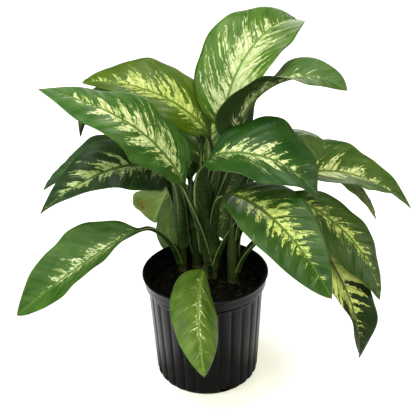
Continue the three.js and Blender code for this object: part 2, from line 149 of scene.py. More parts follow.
def store(piece, name, rows):
    """Keeps a vector for every vertex, for the materials to read."""
    attribute = piece.data.attributes.new(name, "FLOAT_VECTOR", "POINT")
    attribute.data.foreach_set("vector", rows.astype(np.float32).ravel())


def finish_piece(piece, material, nodes=()):
    """Gives a piece its material and the plant's one body, and hides the nodes it stands for."""
    piece.data.materials.append(material)
    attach(piece, "root")
    for node in nodes:
        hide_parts(node)
    triangles = sum(len(face.vertices) - 2 for face in piece.data.polygons)
    print(f"{piece.name}: {triangles} triangles")


# %% [markdown]
# ## Helpers for materials
#
# A material is a chain of nodes. These helpers add one node each and pass on its output, so that a recipe
# reads from top to bottom. A value that changes over the surface can be an output of an earlier node; a
# plain number is typed straight into the socket.

# %% Helpers for materials
class Recipe:
    def __init__(self, tree):
        self.tree = tree

    def fill(self, sockets, values):
        """Joins each named socket to an earlier output, or types a plain value into it."""
        for key, value in values.items():
            if isinstance(value, bpy.types.NodeSocket):
                self.tree.links.new(value, sockets[key])
            elif value is not None:
                sockets[key].default_value = value

    def add(self, kind, inputs=None, **settings):
        node = self.tree.nodes.new(kind)
        for key, value in settings.items():
            setattr(node, key, value)
        self.fill(node.inputs, inputs or {})
        return node

    def calc(self, operation, first, second=None, clamp=False):
        node = self.add("ShaderNodeMath", {0: first, 1: second}, operation=operation, use_clamp=clamp)
        return node.outputs[0]

    def plus(self, first, *more, clamp=False):
        for value in more:
            first = self.calc("ADD", first, value, clamp)
        return first

    def times(self, first, *more):
        for value in more:
            first = self.calc("MULTIPLY", first, value)
        return first

    def minus(self, first, second):
        return self.calc("SUBTRACT", first, second)

    def invert(self, value):
        """Swaps 0 and 1."""
        return self.minus(1.0, value)

    def absolute(self, value):
        return self.calc("ABSOLUTE", value)

    def distance(self, first, second):
        return self.add("ShaderNodeVectorMath", {0: first, 1: second}, operation="DISTANCE").outputs["Value"]

    def smooth(self, value, low, high):
        """0 below `low`, 1 above `high`, and a soft step between them."""
        inputs = {"Value": value, "From Min": low, "From Max": high}
        return self.add("ShaderNodeMapRange", inputs, interpolation_type="SMOOTHSTEP").outputs["Result"]

    def scale(self, value, low, high):
        """Turns 0..1 into low..high."""
        inputs = {"Value": value, "To Min": low, "To Max": high}
        return self.add("ShaderNodeMapRange", inputs).outputs["Result"]

    def mix(self, share, first, second):
        return self.add("ShaderNodeMix", {0: share, 6: first, 7: second}, data_type="RGBA").outputs[2]

    def layer(self, under, over, mask, strength):
        """Lays one colour over another where the mask is 1, only as strongly as `strength` says."""
        return self.mix(self.times(mask, strength), under, over)

    def noise(self, vector, scale, detail=2.0, roughness=0.5):
        inputs = {"Vector": vector, "Scale": scale, "Detail": detail, "Roughness": roughness}
        return self.add("ShaderNodeTexNoise", inputs).outputs["Fac"]

    def bump(self, height, distance, strength):
        inputs = {"Height": height, "Distance": distance, "Strength": strength}
        return self.add("ShaderNodeBump", inputs).outputs["Normal"]

    def vector(self, x, y, z):
        return self.add("ShaderNodeCombineXYZ", {0: x, 1: y, 2: z}).outputs[0]

    def split(self, vector):
        return self.add("ShaderNodeSeparateXYZ", {0: vector}).outputs

    def attribute(self, name):
        return self.add("ShaderNodeAttribute", attribute_name=name).outputs["Vector"]

    def place(self):
        """Where a point of the surface lies, in metres."""
        return self.add("ShaderNodeTexCoord").outputs["Object"]

    def stretched(self, place, scale):
        return self.add("ShaderNodeMapping", {"Vector": place, "Scale": scale}).outputs[0]


def new_group(name, vectors, numbers, masks):
    """A shader node group with vector inputs, number inputs and their defaults, and number outputs."""
    tree = bpy.data.node_groups.new(name, "ShaderNodeTree")
    for key in vectors:
        tree.interface.new_socket(name=key, in_out="INPUT", socket_type="NodeSocketVector")
    for key, default in numbers.items():
        socket = tree.interface.new_socket(name=key, in_out="INPUT", socket_type="NodeSocketFloat")
        socket.default_value = default
    for key in masks:
        tree.interface.new_socket(name=key, in_out="OUTPUT", socket_type="NodeSocketFloat")
    recipe = Recipe(tree)
    return recipe, recipe.add("NodeGroupInput").outputs, recipe.add("NodeGroupOutput").inputs


def new_material(name):
    material = bpy.data.materials.new(name)
    material.use_nodes = True
    return material, Recipe(material.node_tree), material.node_tree.nodes["Principled BSDF"].inputs


def colour(red, green, blue):
    """A colour as a paint program names it, 0 to 255, turned into the linear light that Blender mixes."""
    def linear(value):
        share = value / 255
        return share / 12.92 if share <= 0.04045 else ((share + 0.055) / 1.055) ** 2.4
    return (linear(red), linear(green), linear(blue), 1)


print("A pure mid grey, 128 of 255, is", round(colour(128, 128, 128)[0], 3), "in linear light")


# %% [markdown]
# ## The camera
#
# The camera stands where the photographer's did: a little over a metre away, above the plant, looking down.
# Its height, distance and tilt were worked out from the pot's rim and base, which are two circles of known
# size. A camera looks along its own -Z axis, so a quarter turn about X makes it look level, and the pitch
# takes some of that turn back. The roll is the slight lean of the picture.

# %% The camera
CAMERA_PLACE = (7.8, -974, 788)
CAMERA_PITCH = 24.62
CAMERA_ROLL = -1.28
LENS_TO_WIDTH = 600 / 416
SENSOR_WIDTH = 36
SIGHT = 60000

start_fresh()
bpy.ops.object.camera_add()
camera = named("camera")
camera.data.sensor_width = SENSOR_WIDTH
camera.data.lens = SENSOR_WIDTH * LENS_TO_WIDTH
camera.data.clip_end = SIGHT * MM
tilt = Matrix.Rotation(math.radians(90 - CAMERA_PITCH), 4, "X")
roll = Matrix.Rotation(math.radians(CAMERA_ROLL), 4, "Z")
camera.matrix_world = Matrix.Translation(Vector(CAMERA_PLACE) * MM) @ tilt @ roll
bpy.context.scene.camera = camera
print(f"Camera with a {camera.data.lens:.1f} mm lens")


# %% [markdown]
# ## The light
#
# The photo is a plain product shot: soft light from large panels on a white floor that runs out of the
# picture. Area lights give soft shadows and the long pale reflections on the pot. One panel each stands at
# the left, in front, above and behind, and a narrow strip stands low at either side. The left ones are a
# little cooler than the rest, as the reflections on the pot are. A dim world fills the shadows, and a Light
# Path node shows it to the camera as white. The view's contrast is raised a little, as a product photo's is.

# %% The light
WORLD_FILL = (0.24, 0.24, 0.215, 1)
WHITE = (1.0, 1.0, 1.0, 1)
LIGHTS = {
    "panel_left": ((-1500, -900, 1500), (1100, 1100), 13, (0.94, 0.98, 1.0)),
    "panel_front": ((300, -1900, 1100), (1500, 1500), 19.5, (1.0, 0.99, 0.93)),
    "panel_above": ((-150, -250, 2000), (1300, 1300), 22.5, (1.0, 0.99, 0.94)),
    "panel_back": ((500, 1800, 1300), (1300, 1300), 13, (1.0, 0.99, 0.95)),
    "strip_left": ((-1250, -250, 420), (300, 800), 6, (0.9, 0.96, 1.0)),
    "strip_right": ((1300, -150, 420), (300, 800), 3, (1.0, 0.96, 0.9)),
}
LIGHT_AIM = Vector((0, 0, 300)) * MM

world = bpy.data.worlds.new("studio")
world.use_nodes = True
recipe = Recipe(world.node_tree)
to_camera = recipe.add("ShaderNodeLightPath").outputs["Is Camera Ray"]
sky = recipe.mix(to_camera, WORLD_FILL, WHITE)
recipe.fill(world.node_tree.nodes["Background"].inputs, {"Color": sky})
bpy.context.scene.world = world
for name, (place, (width, height), watts, tint) in LIGHTS.items():
    start_fresh()
    bpy.ops.object.light_add(type="AREA", location=Vector(place) * MM)
    light = bpy.context.object
    light.name = name
    light.data.shape = "RECTANGLE"
    light.data.size = width * MM
    light.data.size_y = height * MM
    light.data.energy = watts
    light.data.color = tint
    light.rotation_euler = (LIGHT_AIM - light.location).to_track_quat("-Z", "Y").to_euler()

bpy.context.scene.view_settings.view_transform = "Standard"
bpy.context.scene.view_settings.look = "Medium High Contrast"
print(len(LIGHTS), "soft lights")


# %% [markdown]
# ## The floor
#
# A wide pale sheet stands for the studio's paper sweep. It isn't part of the plant.
# The photo's background is blown out to white. So the sheet also glows, but only towards the camera: a Light
# Path node keeps that glow from lighting the leaves from below, which would wash out their shadows. The glow
# is weaker near the pot, and close around it also a little yellower, where the photo keeps a faint warm
# shadow. Left and right of the pot the sheet is brighter for mirrored rays only: those are the lit patches of
# table that the pot's flutes reflect. Nodes measure in metres, so the reaches below are in metres.

# %% The floor
FLOOR_SIZE = 40000
FLOOR_GLOW = 0.62
FAR = (0.5, 1.6)
BRIGHT_FROM = (0.11, 0.18)
BRIGHT_TO = (0.36, 0.5)
LEFT_BRIGHTNESS = 1.15
RIGHT_BRIGHTNESS = 0.75
SHADE_PLACE = (0.045, -0.03, 0)
SHADE_REACH = (0.08, 0.165)
SHADE_GLOW = 0.76

start_fresh()
bpy.ops.mesh.primitive_plane_add(size=FLOOR_SIZE * MM)
floor = named("floor")
material, recipe, surface = new_material("pale_paper")
place = recipe.place()
x, _, _ = recipe.split(place)
from_pot = recipe.distance(place, (0, 0, 0))
lit = recipe.smooth(recipe.distance(place, SHADE_PLACE), *SHADE_REACH)
glow = recipe.scale(recipe.smooth(from_pot, *FAR), FLOOR_GLOW, 1.0)
glow = recipe.times(glow, recipe.scale(lit, SHADE_GLOW, 1.0))
left = recipe.times(recipe.smooth(recipe.times(x, -1.0), *BRIGHT_FROM), LEFT_BRIGHTNESS)
right = recipe.times(recipe.smooth(x, *BRIGHT_FROM), RIGHT_BRIGHTNESS)
patches = recipe.times(recipe.plus(left, right), recipe.invert(recipe.smooth(from_pot, *BRIGHT_TO)))
ray = recipe.add("ShaderNodeLightPath").outputs
seen = recipe.times(ray["Is Camera Ray"], glow)
mirrored = recipe.times(ray["Is Glossy Ray"], patches)
recipe.fill(surface, {
    "Base Color": recipe.mix(recipe.noise(place, 3.0), (0.56, 0.57, 0.54, 1), (0.58, 0.58, 0.56, 1)),
    "Roughness": 0.9,
    "Specular IOR Level": 0.1,
    "Emission Color": recipe.mix(lit, (1.0, 1.0, 0.8, 1), (1.0, 1.0, 0.99, 1)),
    "Emission Strength": recipe.plus(seen, mirrored),
})
floor.data.materials.append(material)
print(f"A sheet {FLOOR_SIZE * MM:.0f} m wide")


# %% [markdown]
# ## One leaf blank
#
# Every leaf of this plant has the same build: a stalk with a channel and two thin wings, which runs into the
# thick midrib of a long oval blade. So one blank is modelled and copied. It is a tube of many sides: its
# length becomes the leaf's length, one half of its sides becomes the upper face and the other half the lower
# one. A tube, and not two flat grids, because the margin then closes by itself. The tube comes as one tall
# ring of faces, and subdividing its upright edges gives the rows across the leaf.

# %% One leaf blank
BLANK_SIDES = 76
BLANK_CUTS = (12, 14)
BLANK_ROWS = (BLANK_CUTS[0] + 1) * (BLANK_CUTS[1] + 1) + 1
STALK_ROWS = 46
BLADE_ROWS = BLANK_ROWS - STALK_ROWS

start_fresh()
bpy.ops.mesh.primitive_cylinder_add(vertices=BLANK_SIDES, radius=1, depth=1, end_fill_type="NOTHING")
blank = named("leaf_blank")
add_rows(blank, BLANK_CUTS)
for end in (-0.5, 0.5):
    pick(blank, "vertices", lambda vertex: abs(vertex.co.z - end) < TINY)
    bpy.ops.mesh.edge_face_add()
bpy.ops.mesh.select_all(action="SELECT")
bpy.ops.mesh.normals_make_consistent(inside=False)
bpy.ops.object.mode_set(mode="OBJECT")

tube = places(blank) * MM
blank_row = np.rint((tube[:, 2] + 0.5) * (BLANK_ROWS - 1)).astype(int)
blank_turn = np.arctan2(tube[:, 1], tube[:, 0])
blank_across = 1 - 2 * np.abs(blank_turn) / np.pi
blank_side = np.sign(blank_turn)
blank_side[np.abs(blank_across) > 1 - TINY] = 0
print("The blank has", len(blank.data.vertices), "vertices in", BLANK_ROWS, "rows")


# %% [markdown]
# ## Where the leaves hang
#
# The table repeats the CAD model's: which cane a leaf stands on, how high and on which side its stalk starts,
# where the blade starts and how it runs. Angles are in degrees. `slope` is the midrib's slope at the two ends
# of the blade, `roll` turns the blade about its midrib, `fold` is the V between its halves, and `stalk` says
# how wide the stalk is beside the usual one.

# %% Where the leaves hang
Cane = namedtuple("Cane", "foot tip tip_height foot_radius tip_radius bare")
CANES = {
    "middle": Cane((11, 23), (8, 8), 400, 12, 8.5, 34),
    "left": Cane((-46, 58), (-42, 50), 330, 10, 7, 10),
    "back": Cane((-16, 64), (-22, 60), 378, 10, 7, 14),
    "right": Cane((53, 8), (50, 10), 335, 11, 8, 8),
}
Leaf = namedtuple(
    "Leaf", "cane root arrive base heading length slope sweep width roll fold cup widest wave stalk",
    defaults=[1],
)
LEAVES = {
    "leaf_crown_top": Leaf(
        "middle", (345, 30), 0.5, (40, 30, 477), 28, 298, (92, -14), 27,
        152, (4, 16), 0.34, 0.01, (0.4, 0.42), (0.06, 0.9),
    ),
    "leaf_crown_right": Leaf(
        "middle", (310, -10), 0.5, (58, -22, 470), 0, 240, (90, -35), -15,
        120, (-60, 100), 0.35, 0.1, (0.44, 0.4), (0.06, 0.6),
    ),
    "leaf_crown_left": Leaf(
        "middle", (285, 130), 0.5, (10, 53, 465), 190, 250, (55, -10), -25,
        135, (-40, 30), 0.4, 0.15, (0.42, 0.46), (0.06, 0.4),
    ),
    "leaf_front_right": Leaf(
        "middle", (240, -95), 0.5, (12, -62, 458), -35, 210, (30, -65), 45,
        140, (25, -5), 0.45, 0.15, (0.48, 0.44), (0.08, 0.1), 1.8,
    ),
    "leaf_front_left": Leaf(
        "middle", (222, -140), 0.5, (-34, -56, 417), 220, 285, (65, 15), -30,
        125, (-65, 50), 0.3, 0.2, (0.52, 0.3), (0.1, 0.7),
    ),
    "leaf_front_small": Leaf(
        "middle", (190, -95), 0.5, (-2, -80, 260), -100, 215, (5, -40), 20,
        85, (-40, 25), 0, 0.35, (0.48, 0.42), (0.04, 0.25), 0.5,
    ),
    "leaf_right_drooping": Leaf(
        "middle", (205, -30), 0, (150, 0, 362), -30, 265, (-10, -80), 15,
        110, (20, 5), 0.2, 0.3, (0.4, 0.38), (0.06, 0.8),
    ),
    "leaf_right_front": Leaf(
        "middle", (262, -50), 0.5, (40, -65, 396), -60, 280, (15, -40), 0,
        105, (10, 15), 0.4, 0.15, (0.38, 0.5), (0.04, 0.2),
    ),
    "leaf_right_curled": Leaf(
        "right", (275, 0), 0.5, (105, 0, 452), 35, 185, (47, -112), 15,
        110, (-8, 4), 0.2, 0.3, (0.44, 0.41), (0.06, 0.29),
    ),
    "leaf_right_far": Leaf(
        "right", (255, 40), 0.5, (182, 65, 378), 25, 265, (0, -45), -30,
        140, (25, -15), 0.4, 0.05, (0.34, 0.44), (0.04, 0.25),
    ),
    "leaf_right_under": Leaf(
        "right", (232, 80), 0.5, (176, 127, 373), 0, 225, (0, -70), -5,
        90, (-5, 20), 0.25, 0.25, (0.4, 0.42), (0.02, 0.05),
    ),
    "leaf_right_low": Leaf(
        "right", (205, -10), 0.2, (182, -5, 302), -55, 270, (-25, -90), 20,
        95, (0, 5), 0.5, 0.05, (0.46, 0.4), (0.14, 0.3),
    ),
    "leaf_left_middle": Leaf(
        "left", (235, -80), 0.5, (-60, -25, 428), 230, 255, (30, -30), -10,
        110, (-65, 80), 0.35, 0.25, (0.32, 0.42), (0.04, 0.65),
    ),
    "leaf_left_low": Leaf(
        "left", (200, 220), 0.3, (-124, -5, 302), 205, 255, (-20, -35), -5,
        115, (0, -35), 0.5, -0.05, (0.46, 0.38), (0.06, 0.05), 0.75,
    ),
    "leaf_left_arching": Leaf(
        "left", (262, 200), 0.5, (-74, 14, 412), 160, 260, (22, -50), 12,
        126, (-34, 26), 0.3, 0.22, (0.47, 0.46), (0.06, 0.45),
    ),
    "leaf_left_upper": Leaf(
        "back", (275, 215), 0.5, (0, 75, 425), 166, 328, (79, -73), 1,
        110, (-1, -21), 0.44, 0.02, (0.43, 0.58), (0.1, 0.68),
    ),
    "leaf_left_yellowing": Leaf(
        "back", (248, 150), 0.5, (-56, 98, 355), 120, 188, (-44, -54), -9,
        124, (15, 5), 0.25, 0.2, (0.44, 0.42), (0.07, 0.16),
    ),
    "leaf_left_hanging": Leaf(
        "back", (220, 170), 0.5, (-62, 95, 326), 100, 175, (-60, -78), 10,
        78, (-10, -5), 0, 0.4, (0.4, 0.44), (0.08, 0.05),
    ),
    "leaf_back_top": Leaf(
        "middle", (320, 75), 0.5, (6, 100, 384), 88, 245, (62, -50), -10,
        118, (0, 0), 0.3, 0.15, (0.42, 0.42), (0.08, 0.2),
    ),
    "leaf_back_left": Leaf(
        "back", (290, 110), 0.5, (-26, 104, 362), 122, 240, (58, -60), 0,
        112, (0, 0), 0.3, 0.15, (0.42, 0.42), (0.1, 0.6),
    ),
    "leaf_back_right": Leaf(
        "right", (290, 60), 0.5, (100, 90, 400), 60, 245, (30, -60), -10,
        110, (0, 0), 0.3, 0.15, (0.42, 0.42), (0.08, 0.4),
    ),
    "leaf_back_low": Leaf(
        "middle", (258, 85), 0.5, (42, 94, 378), 92, 235, (-38, -88), 0,
        126, (0, 0), 0.3, 0.15, (0.42, 0.42), (0.08, 0.9),
    ),
    "leaf_back_left_low": Leaf(
        "left", (285, 140), 0.5, (-104, 74, 402), 158, 215, (15, -60), 0,
        105, (0, 0), 0.3, 0.15, (0.42, 0.42), (0.1, 0.3),
    ),
    "leaf_back_right_low": Leaf(
        "right", (212, 70), 0.5, (90, 100, 320), 40, 220, (0, -80), 0,
        100, (0, 0), 0.3, 0.15, (0.42, 0.42), (0.1, 0.3),
    ),
}
print(len(LEAVES), "leaves on", len(CANES), "canes")


# %% [markdown]
# ## The path of a leaf
#
# A leaf is hung on one line: first the stalk, a curve with two handles like one drawn with the pen tool, and
# then the midrib, which turns evenly from its first slope to its last. At every row of the blank the line
# needs a direction, a side and a face direction. The stalk's face first looks at the cane and is carried
# along without turning, and what is then missing to meet the blade is shared out evenly. Where stalk and
# blade meet, the line is relaxed a little, as the real joint is a soft bend.

# %% The path of a leaf
CLEARANCE = 0.42  # between a stalk and its cane
HANDLE_UP = 0.4
HANDLE_OUT = 0.05
HANDLE_BACK = 0.3
BEND_ROWS = 12
BEND_ROUNDS = 30
TWIST_ROWS = 14
TWIST_ROUNDS = 40


def unit(rows):
    return rows / np.linalg.norm(rows, axis=-1, keepdims=True)


def directions(heading, slope):
    heading, slope = np.radians(heading), np.radians(slope)
    level = np.cos(slope)
    return np.stack([level * np.cos(heading), level * np.sin(heading), np.sin(slope) + 0 * heading], -1)


def cane_place(cane, height):
    share = (height - SOIL_TOP) / (cane.tip_height - SOIL_TOP)
    foot, tip = np.array(cane.foot), np.array(cane.tip)
    x, y = foot + (tip - foot) * share
    return np.array([x, y, height]), cane.foot_radius + (cane.tip_radius - cane.foot_radius) * share


def midrib(leaf):
    share = np.linspace(0, 1, BLADE_ROWS)
    slope = leaf.slope[0] + (leaf.slope[1] - leaf.slope[0]) * share
    heading = leaf.heading + leaf.sweep * share
    along = directions(heading, slope)
    steps = unit(along[1:] + along[:-1]) * leaf.length / (BLADE_ROWS - 1)
    centres = np.array(leaf.base) + np.vstack([np.zeros(3), np.cumsum(steps, 0)])
    level = np.stack([-np.sin(np.radians(heading)), np.cos(np.radians(heading)), 0 * share], -1)
    turn = np.radians(leaf.roll[0] + leaf.roll[1] * share)[:, None]
    side = level * np.cos(turn) + np.cross(along, level) * np.sin(turn)
    return centres, along, np.cross(along, side)


def stalk(leaf, blade_along, blade_face):
    cane, (height, azimuth) = CANES[leaf.cane], leaf.root
    axis, radius = cane_place(cane, height)
    outward = directions(azimuth, 0)
    base = np.array(leaf.base, float)
    root = axis + outward * (radius + CLEARANCE)
    span = np.linalg.norm(base - root)
    bearing = math.degrees(math.atan2(base[1] - axis[1], base[0] - axis[0]))
    turn = (leaf.heading - bearing + 180) % 360 - 180
    arrival = directions(bearing + turn * leaf.arrive, leaf.slope[0])
    leaving = HANDLE_UP * np.array([0, 0, 1]) + HANDLE_OUT * outward
    handles = [root, root + span * leaving, base - HANDLE_BACK * span * arrival, base]
    share = np.linspace(0, 1, STALK_ROWS + 1)[:-1, None]
    centres = sum(
        math.comb(3, i) * share**i * (1 - share) ** (3 - i) * handle for i, handle in enumerate(handles)
    )
    along = unit(np.gradient(centres, axis=0))
    faces = [-outward]
    for i in range(1, STALK_ROWS):
        faces.append(unit(faces[-1] - along[i] * np.dot(faces[-1], along[i])))
    arriving = unit(faces[-1] - blade_along * np.dot(faces[-1], blade_along))
    missing = math.atan2(np.dot(blade_face, np.cross(blade_along, arriving)), np.dot(blade_face, arriving))
    turn = missing * share
    faces = np.array(faces)
    return centres, faces * np.cos(turn) + np.cross(along, faces) * np.sin(turn)


def relax(rows, middle, reach, rounds):
    """Evens out neighbouring rows near row `middle`, most at the middle and nothing beyond `reach` rows."""
    rows = rows.copy()
    away = np.abs(np.arange(len(rows)) - middle) / reach
    share = np.clip(1 - away, 0, 1)[1:-1, None]
    for _ in range(rounds):
        rows[1:-1] += ((rows[:-2] + rows[2:]) / 2 - rows[1:-1]) * share
    return rows


def leaf_path(leaf):
    blade_centres, blade_along, blade_faces = midrib(leaf)
    stalk_centres, stalk_faces = stalk(leaf, blade_along[0], blade_faces[0])
    centres = relax(np.vstack([stalk_centres, blade_centres]), STALK_ROWS, BEND_ROWS, BEND_ROUNDS)
    faces = relax(np.vstack([stalk_faces, blade_faces]), STALK_ROWS, TWIST_ROWS, TWIST_ROUNDS)
    along = unit(np.gradient(centres, axis=0))
    side = unit(np.cross(faces, along))
    return centres, side, np.cross(along, side)


print("The longest blade is", max(leaf.length for leaf in LEAVES.values()), "mm")


# %% [markdown]
# ## The section of a leaf
#
# Across the path each row gets its section. On the stalk that is a crescent whose wings curl round the cane
# and fade out towards the blade. On the blade it is a thin sheet: folded along the midrib, with its halves
# bent down and its margins waved, lightly quilted between the side veins, and with a groove above and a thick
# rib below the midrib. The same numbers as in the CAD model give the same outline, and the finer forms are
# added here, as geometry, because a bump alone wouldn't show at the margin.

# %% The section of a leaf
BLADE_TAPER = 1.5
STALK_ROOT_HALF_WIDTH = 12
STALK_END_HALF_WIDTH = 4.8
STALK_ROOT_DEPTH = 3.6
STALK_END_DEPTH = 6.0
WING_CURL = 0.42
WING_SHARE = 0.9
BLADE_THICKNESS = 0.7
RIB_DEPTH = 4.0
TIP_HALF_WIDTH = 0.5
WAVES = 2.5
WAVE_LAG = 0.35
FINE_HEIGHT = 0.018
FINE_WAVES = 5.7
JOINT_FADE = 9
EDGE_THICKNESS = 0.5
GROOVE_DEPTH = 0.9
VEIN_SPACING = 11.0
VEIN_LEAN = 0.75
VEIN_CURVE = 0.006
VEIN_RELIEF = 0.45
PILLOW_VEINS = 2.6
PILLOW_RELIEF = 1.3


def vein_root(along, out):
    """Where on the midrib the side vein through a place starts, in millimetres from the blade's base."""
    return along - VEIN_LEAN * out - VEIN_CURVE * out**2


def outline(share, widest):
    rising = BLADE_TAPER * widest
    falling = BLADE_TAPER - rising
    peak = widest**rising * (1 - widest) ** falling
    return share**rising * (1 - share) ** falling / peak


def spread(across):
    """The rows' points, closer together at the midrib than at the margin."""
    return np.sign(across) * np.abs(across) ** 1.35


def leaf_sections(leaf, ragged):
    """Where each vertex of the blank lies beside (y) and above (z) the path, and what the finish needs."""
    row, across = blank_row, spread(blank_across)
    out = np.abs(across)
    on_blade = row >= STALK_ROWS
    share = np.clip((row - STALK_ROWS) / (BLADE_ROWS - 1), 0, 1)
    stalk_share = np.clip(row / STALK_ROWS, 0, 1)

    joint = (1 - share) ** JOINT_FADE
    winged = np.clip(1 - stalk_share / WING_SHARE, 0, 1) ** 0.7
    stalk_half = STALK_END_HALF_WIDTH + (STALK_ROOT_HALF_WIDTH - STALK_END_HALF_WIDTH) * winged
    stalk_half *= leaf.stalk
    stalk_lift = stalk_half * (WING_CURL * winged + 0.12) * out**2
    stalk_middle = STALK_ROOT_DEPTH + (STALK_END_DEPTH - STALK_ROOT_DEPTH) * np.clip(stalk_share * 2, 0, 1)
    rounding = (1 - out**2) ** (1 - 0.35 * (1 - winged))
    stalk_depth = EDGE_THICKNESS + (stalk_middle - EDGE_THICKNESS) * rounding

    half = leaf.width / 2 * outline(share, np.where(across > 0, *leaf.widest))
    half = half * (1 + ragged[0] * np.sin(9 * share + ragged[1]) * np.sin(math.pi * share))
    half = np.maximum(half + joint * STALK_END_HALF_WIDTH * leaf.stalk, TIP_HALF_WIDTH)
    height, phase = leaf.wave
    lag = np.where(across > 0, 0, WAVE_LAG)
    wave = np.sin(2 * math.pi * (WAVES * share + phase + lag))
    fine = np.sin(2 * math.pi * (FINE_WAVES * share + 3 * phase + 2 * lag)) * np.sin(math.pi * share)
    lift = half * (leaf.fold * out + (height * wave - leaf.cup) * out**2 + FINE_HEIGHT * fine * out**3)
    vein = vein_root(share * leaf.length, out * half) / VEIN_SPACING + lag
    vein = vein + 0.3 * np.sin(1.9 * vein + 9 * phase)
    valley = (0.5 + 0.5 * np.cos(2 * math.pi * vein)) ** 3
    pillow = 0.5 + 0.5 * np.cos(2 * math.pi * vein / PILLOW_VEINS + 2 * math.pi * phase)
    inside = np.clip(out * half / 5, 0, 1) * np.clip((1 - out) * 4, 0, 1)
    lift += (PILLOW_RELIEF * pillow - VEIN_RELIEF * valley) * inside
    rib_width = 0.6 + 2.8 * (1 - share)
    lift -= GROOVE_DEPTH * (1 - share) ** 0.7 * np.exp(-((out * half / (0.6 * rib_width)) ** 2))
    rib = RIB_DEPTH * (1 - share) ** 1.1 * np.exp(-((out * half / rib_width) ** 2))
    depth = BLADE_THICKNESS * (1 - 0.45 * out**4) + rib
    round_depth = EDGE_THICKNESS + (STALK_END_DEPTH - EDGE_THICKNESS) * (1 - out**2) ** 0.65
    depth = depth + (round_depth - depth) * joint * 0.9

    y = np.where(on_blade, half, stalk_half) * across
    top = np.where(on_blade, lift, stalk_lift)
    thickness = np.where(on_blade, depth, stalk_depth)
    return y, top - thickness * (1 - blank_side) / 2, share, stalk_share


print("Each blade has", BLADE_ROWS, "rows of", BLANK_SIDES, "points, its stalk", STALK_ROWS)


# %% [markdown]
# ## Hang the leaves
#
# Each leaf is a copy of the blank's mesh, laid along its path. Three attributes of three numbers stay on its
# vertices for the finish. `measure` is, in centimetres, how far along and beside the midrib a vertex lies and
# where the side vein through it starts. `share` is how far along and across it lies, as shares of the blade.
# `part` is whether it is below, how much it belongs to the stalk and how near the stalk's root it is. The
# pattern then follows the leaf however it bends.

# %% Hang the leaves
SKIN_ROWS = 10
SKIN_ROUNDS = 8
MM_PER_CM = 10
STALK_ENDS = -4
STALK_FADE = 12


def hang_leaf(name, leaf):
    piece = new_piece(name, blank.data.copy())
    ragged = (rng.uniform(0.01, 0.03), rng.uniform(0, 6))
    y, z, share, stalk_share = leaf_sections(leaf, ragged)
    centres, side, face = leaf_path(leaf)
    rows = centres[blank_row] + side[blank_row] * y[:, None] + face[blank_row] * z[:, None]

    grid = np.argsort(np.round(blank_turn, 4) * BLANK_ROWS * 10 + blank_row, kind="stable")
    grid = grid.reshape(BLANK_SIDES, BLANK_ROWS)
    for strip in grid:
        rows[strip] = relax(rows[strip], STALK_ROWS, SKIN_ROWS, SKIN_ROUNDS)
    move_to(piece, rows)

    steps = np.linalg.norm(np.diff(centres, axis=0), axis=1)
    travelled = np.concatenate([[0], np.cumsum(steps)])
    along = (travelled - travelled[STALK_ROWS])[blank_row]
    stalkness = np.clip(1 - (along - STALK_ENDS) / STALK_FADE, 0, 1)
    store(piece, "measure", np.stack([along, y, vein_root(along, np.abs(y))], -1) / MM_PER_CM)
    store(piece, "share", np.stack([share, spread(blank_across), 0 * y], -1))
    store(piece, "part", np.stack([blank_side < 0, stalkness, 1 - stalk_share], -1))
    piece.data.shade_smooth()
    return piece


leaf_pieces = {name: hang_leaf(name, leaf) for name, leaf in LEAVES.items()}
bpy.data.objects.remove(blank)
print("Hung", len(leaf_pieces), "leaves")


# %% [markdown]
# ## The markings of a leaf
#
# A dieffenbachia's leaf is green at the margin and cream along the midrib, and the cream runs out along the
# side veins in ragged teeth and flecks. The pattern could be painted, but twenty-four different leaves are
# quicker grown from noise. The trick is the coordinate: instead of the distance along the leaf, the noise
# reads where on the midrib the side vein through a place starts, which was stored with the leaf. Stretched
# along that, noise becomes streaks that follow the veins. The group puts out masks only, and each leaf's
# material colours them in.

# %% The markings of a leaf
SIDE_STEP = 3.7  # sets the noise of the right half apart from the left half's

recipe, given, result = new_group(
    "leaf_markings",
    ("Measure", "Share"),
    {"Seed": 0, "Breadth": 0.3, "Start": 0.05, "End": 0.8, "Ragged": 1, "Speckle": 0.5, "Streaks": 0.3},
    ("Cream", "Halo", "Midrib", "Veins", "Mottle", "Flecks"),
)
markings = recipe.tree
_, beside, vein_place = recipe.split(given["Measure"])
blade_share, across_share, _ = recipe.split(given["Share"])
out = recipe.absolute(beside)
out_share = recipe.absolute(across_share)
seeded = recipe.plus(given["Seed"], recipe.times(recipe.calc("SIGN", beside), SIDE_STEP))


def streaks(line, along_scale, out_scale, offset, detail, roughness, gain):
    """Noise drawn out along the side veins, about 0, and `gain` times as strong."""
    place = recipe.vector(
        recipe.times(line, along_scale), recipe.times(out, out_scale), recipe.plus(seeded, offset),
    )
    return recipe.times(recipe.minus(recipe.noise(place, 1.0, detail, roughness), 0.5), gain)


line = recipe.plus(vein_place, streaks(vein_place, 1.3, 1.1, 53, 2, 0.6, 1.3))
lengths = streaks(line, 0.45, 0.1, 5, 1, 0.5, 2.2)
broad = streaks(line, 0.72, 0.1, 0, 1, 0.5, 1)
narrow = streaks(line, 1.8, 0.28, 41, 1, 0.5, 1)
edges = streaks(line, 4.2, 2.6, 11, 2, 0.6, 0.5)
specks = streaks(line, 3.4, 1.7, 17, 2, 0.6, 1)
threads = streaks(line, 2.3, 0.3, 29, 2, 0.5, 1)
print("Seven noises follow the veins, in", len(markings.nodes), "nodes")

# %% [markdown]
# The cream reaches out from the midrib as far as the leaf's breadth allows, and noise lengthens it finger by
# finger. It starts near the blade's base and thins out towards the tip, and green specks eat into it.

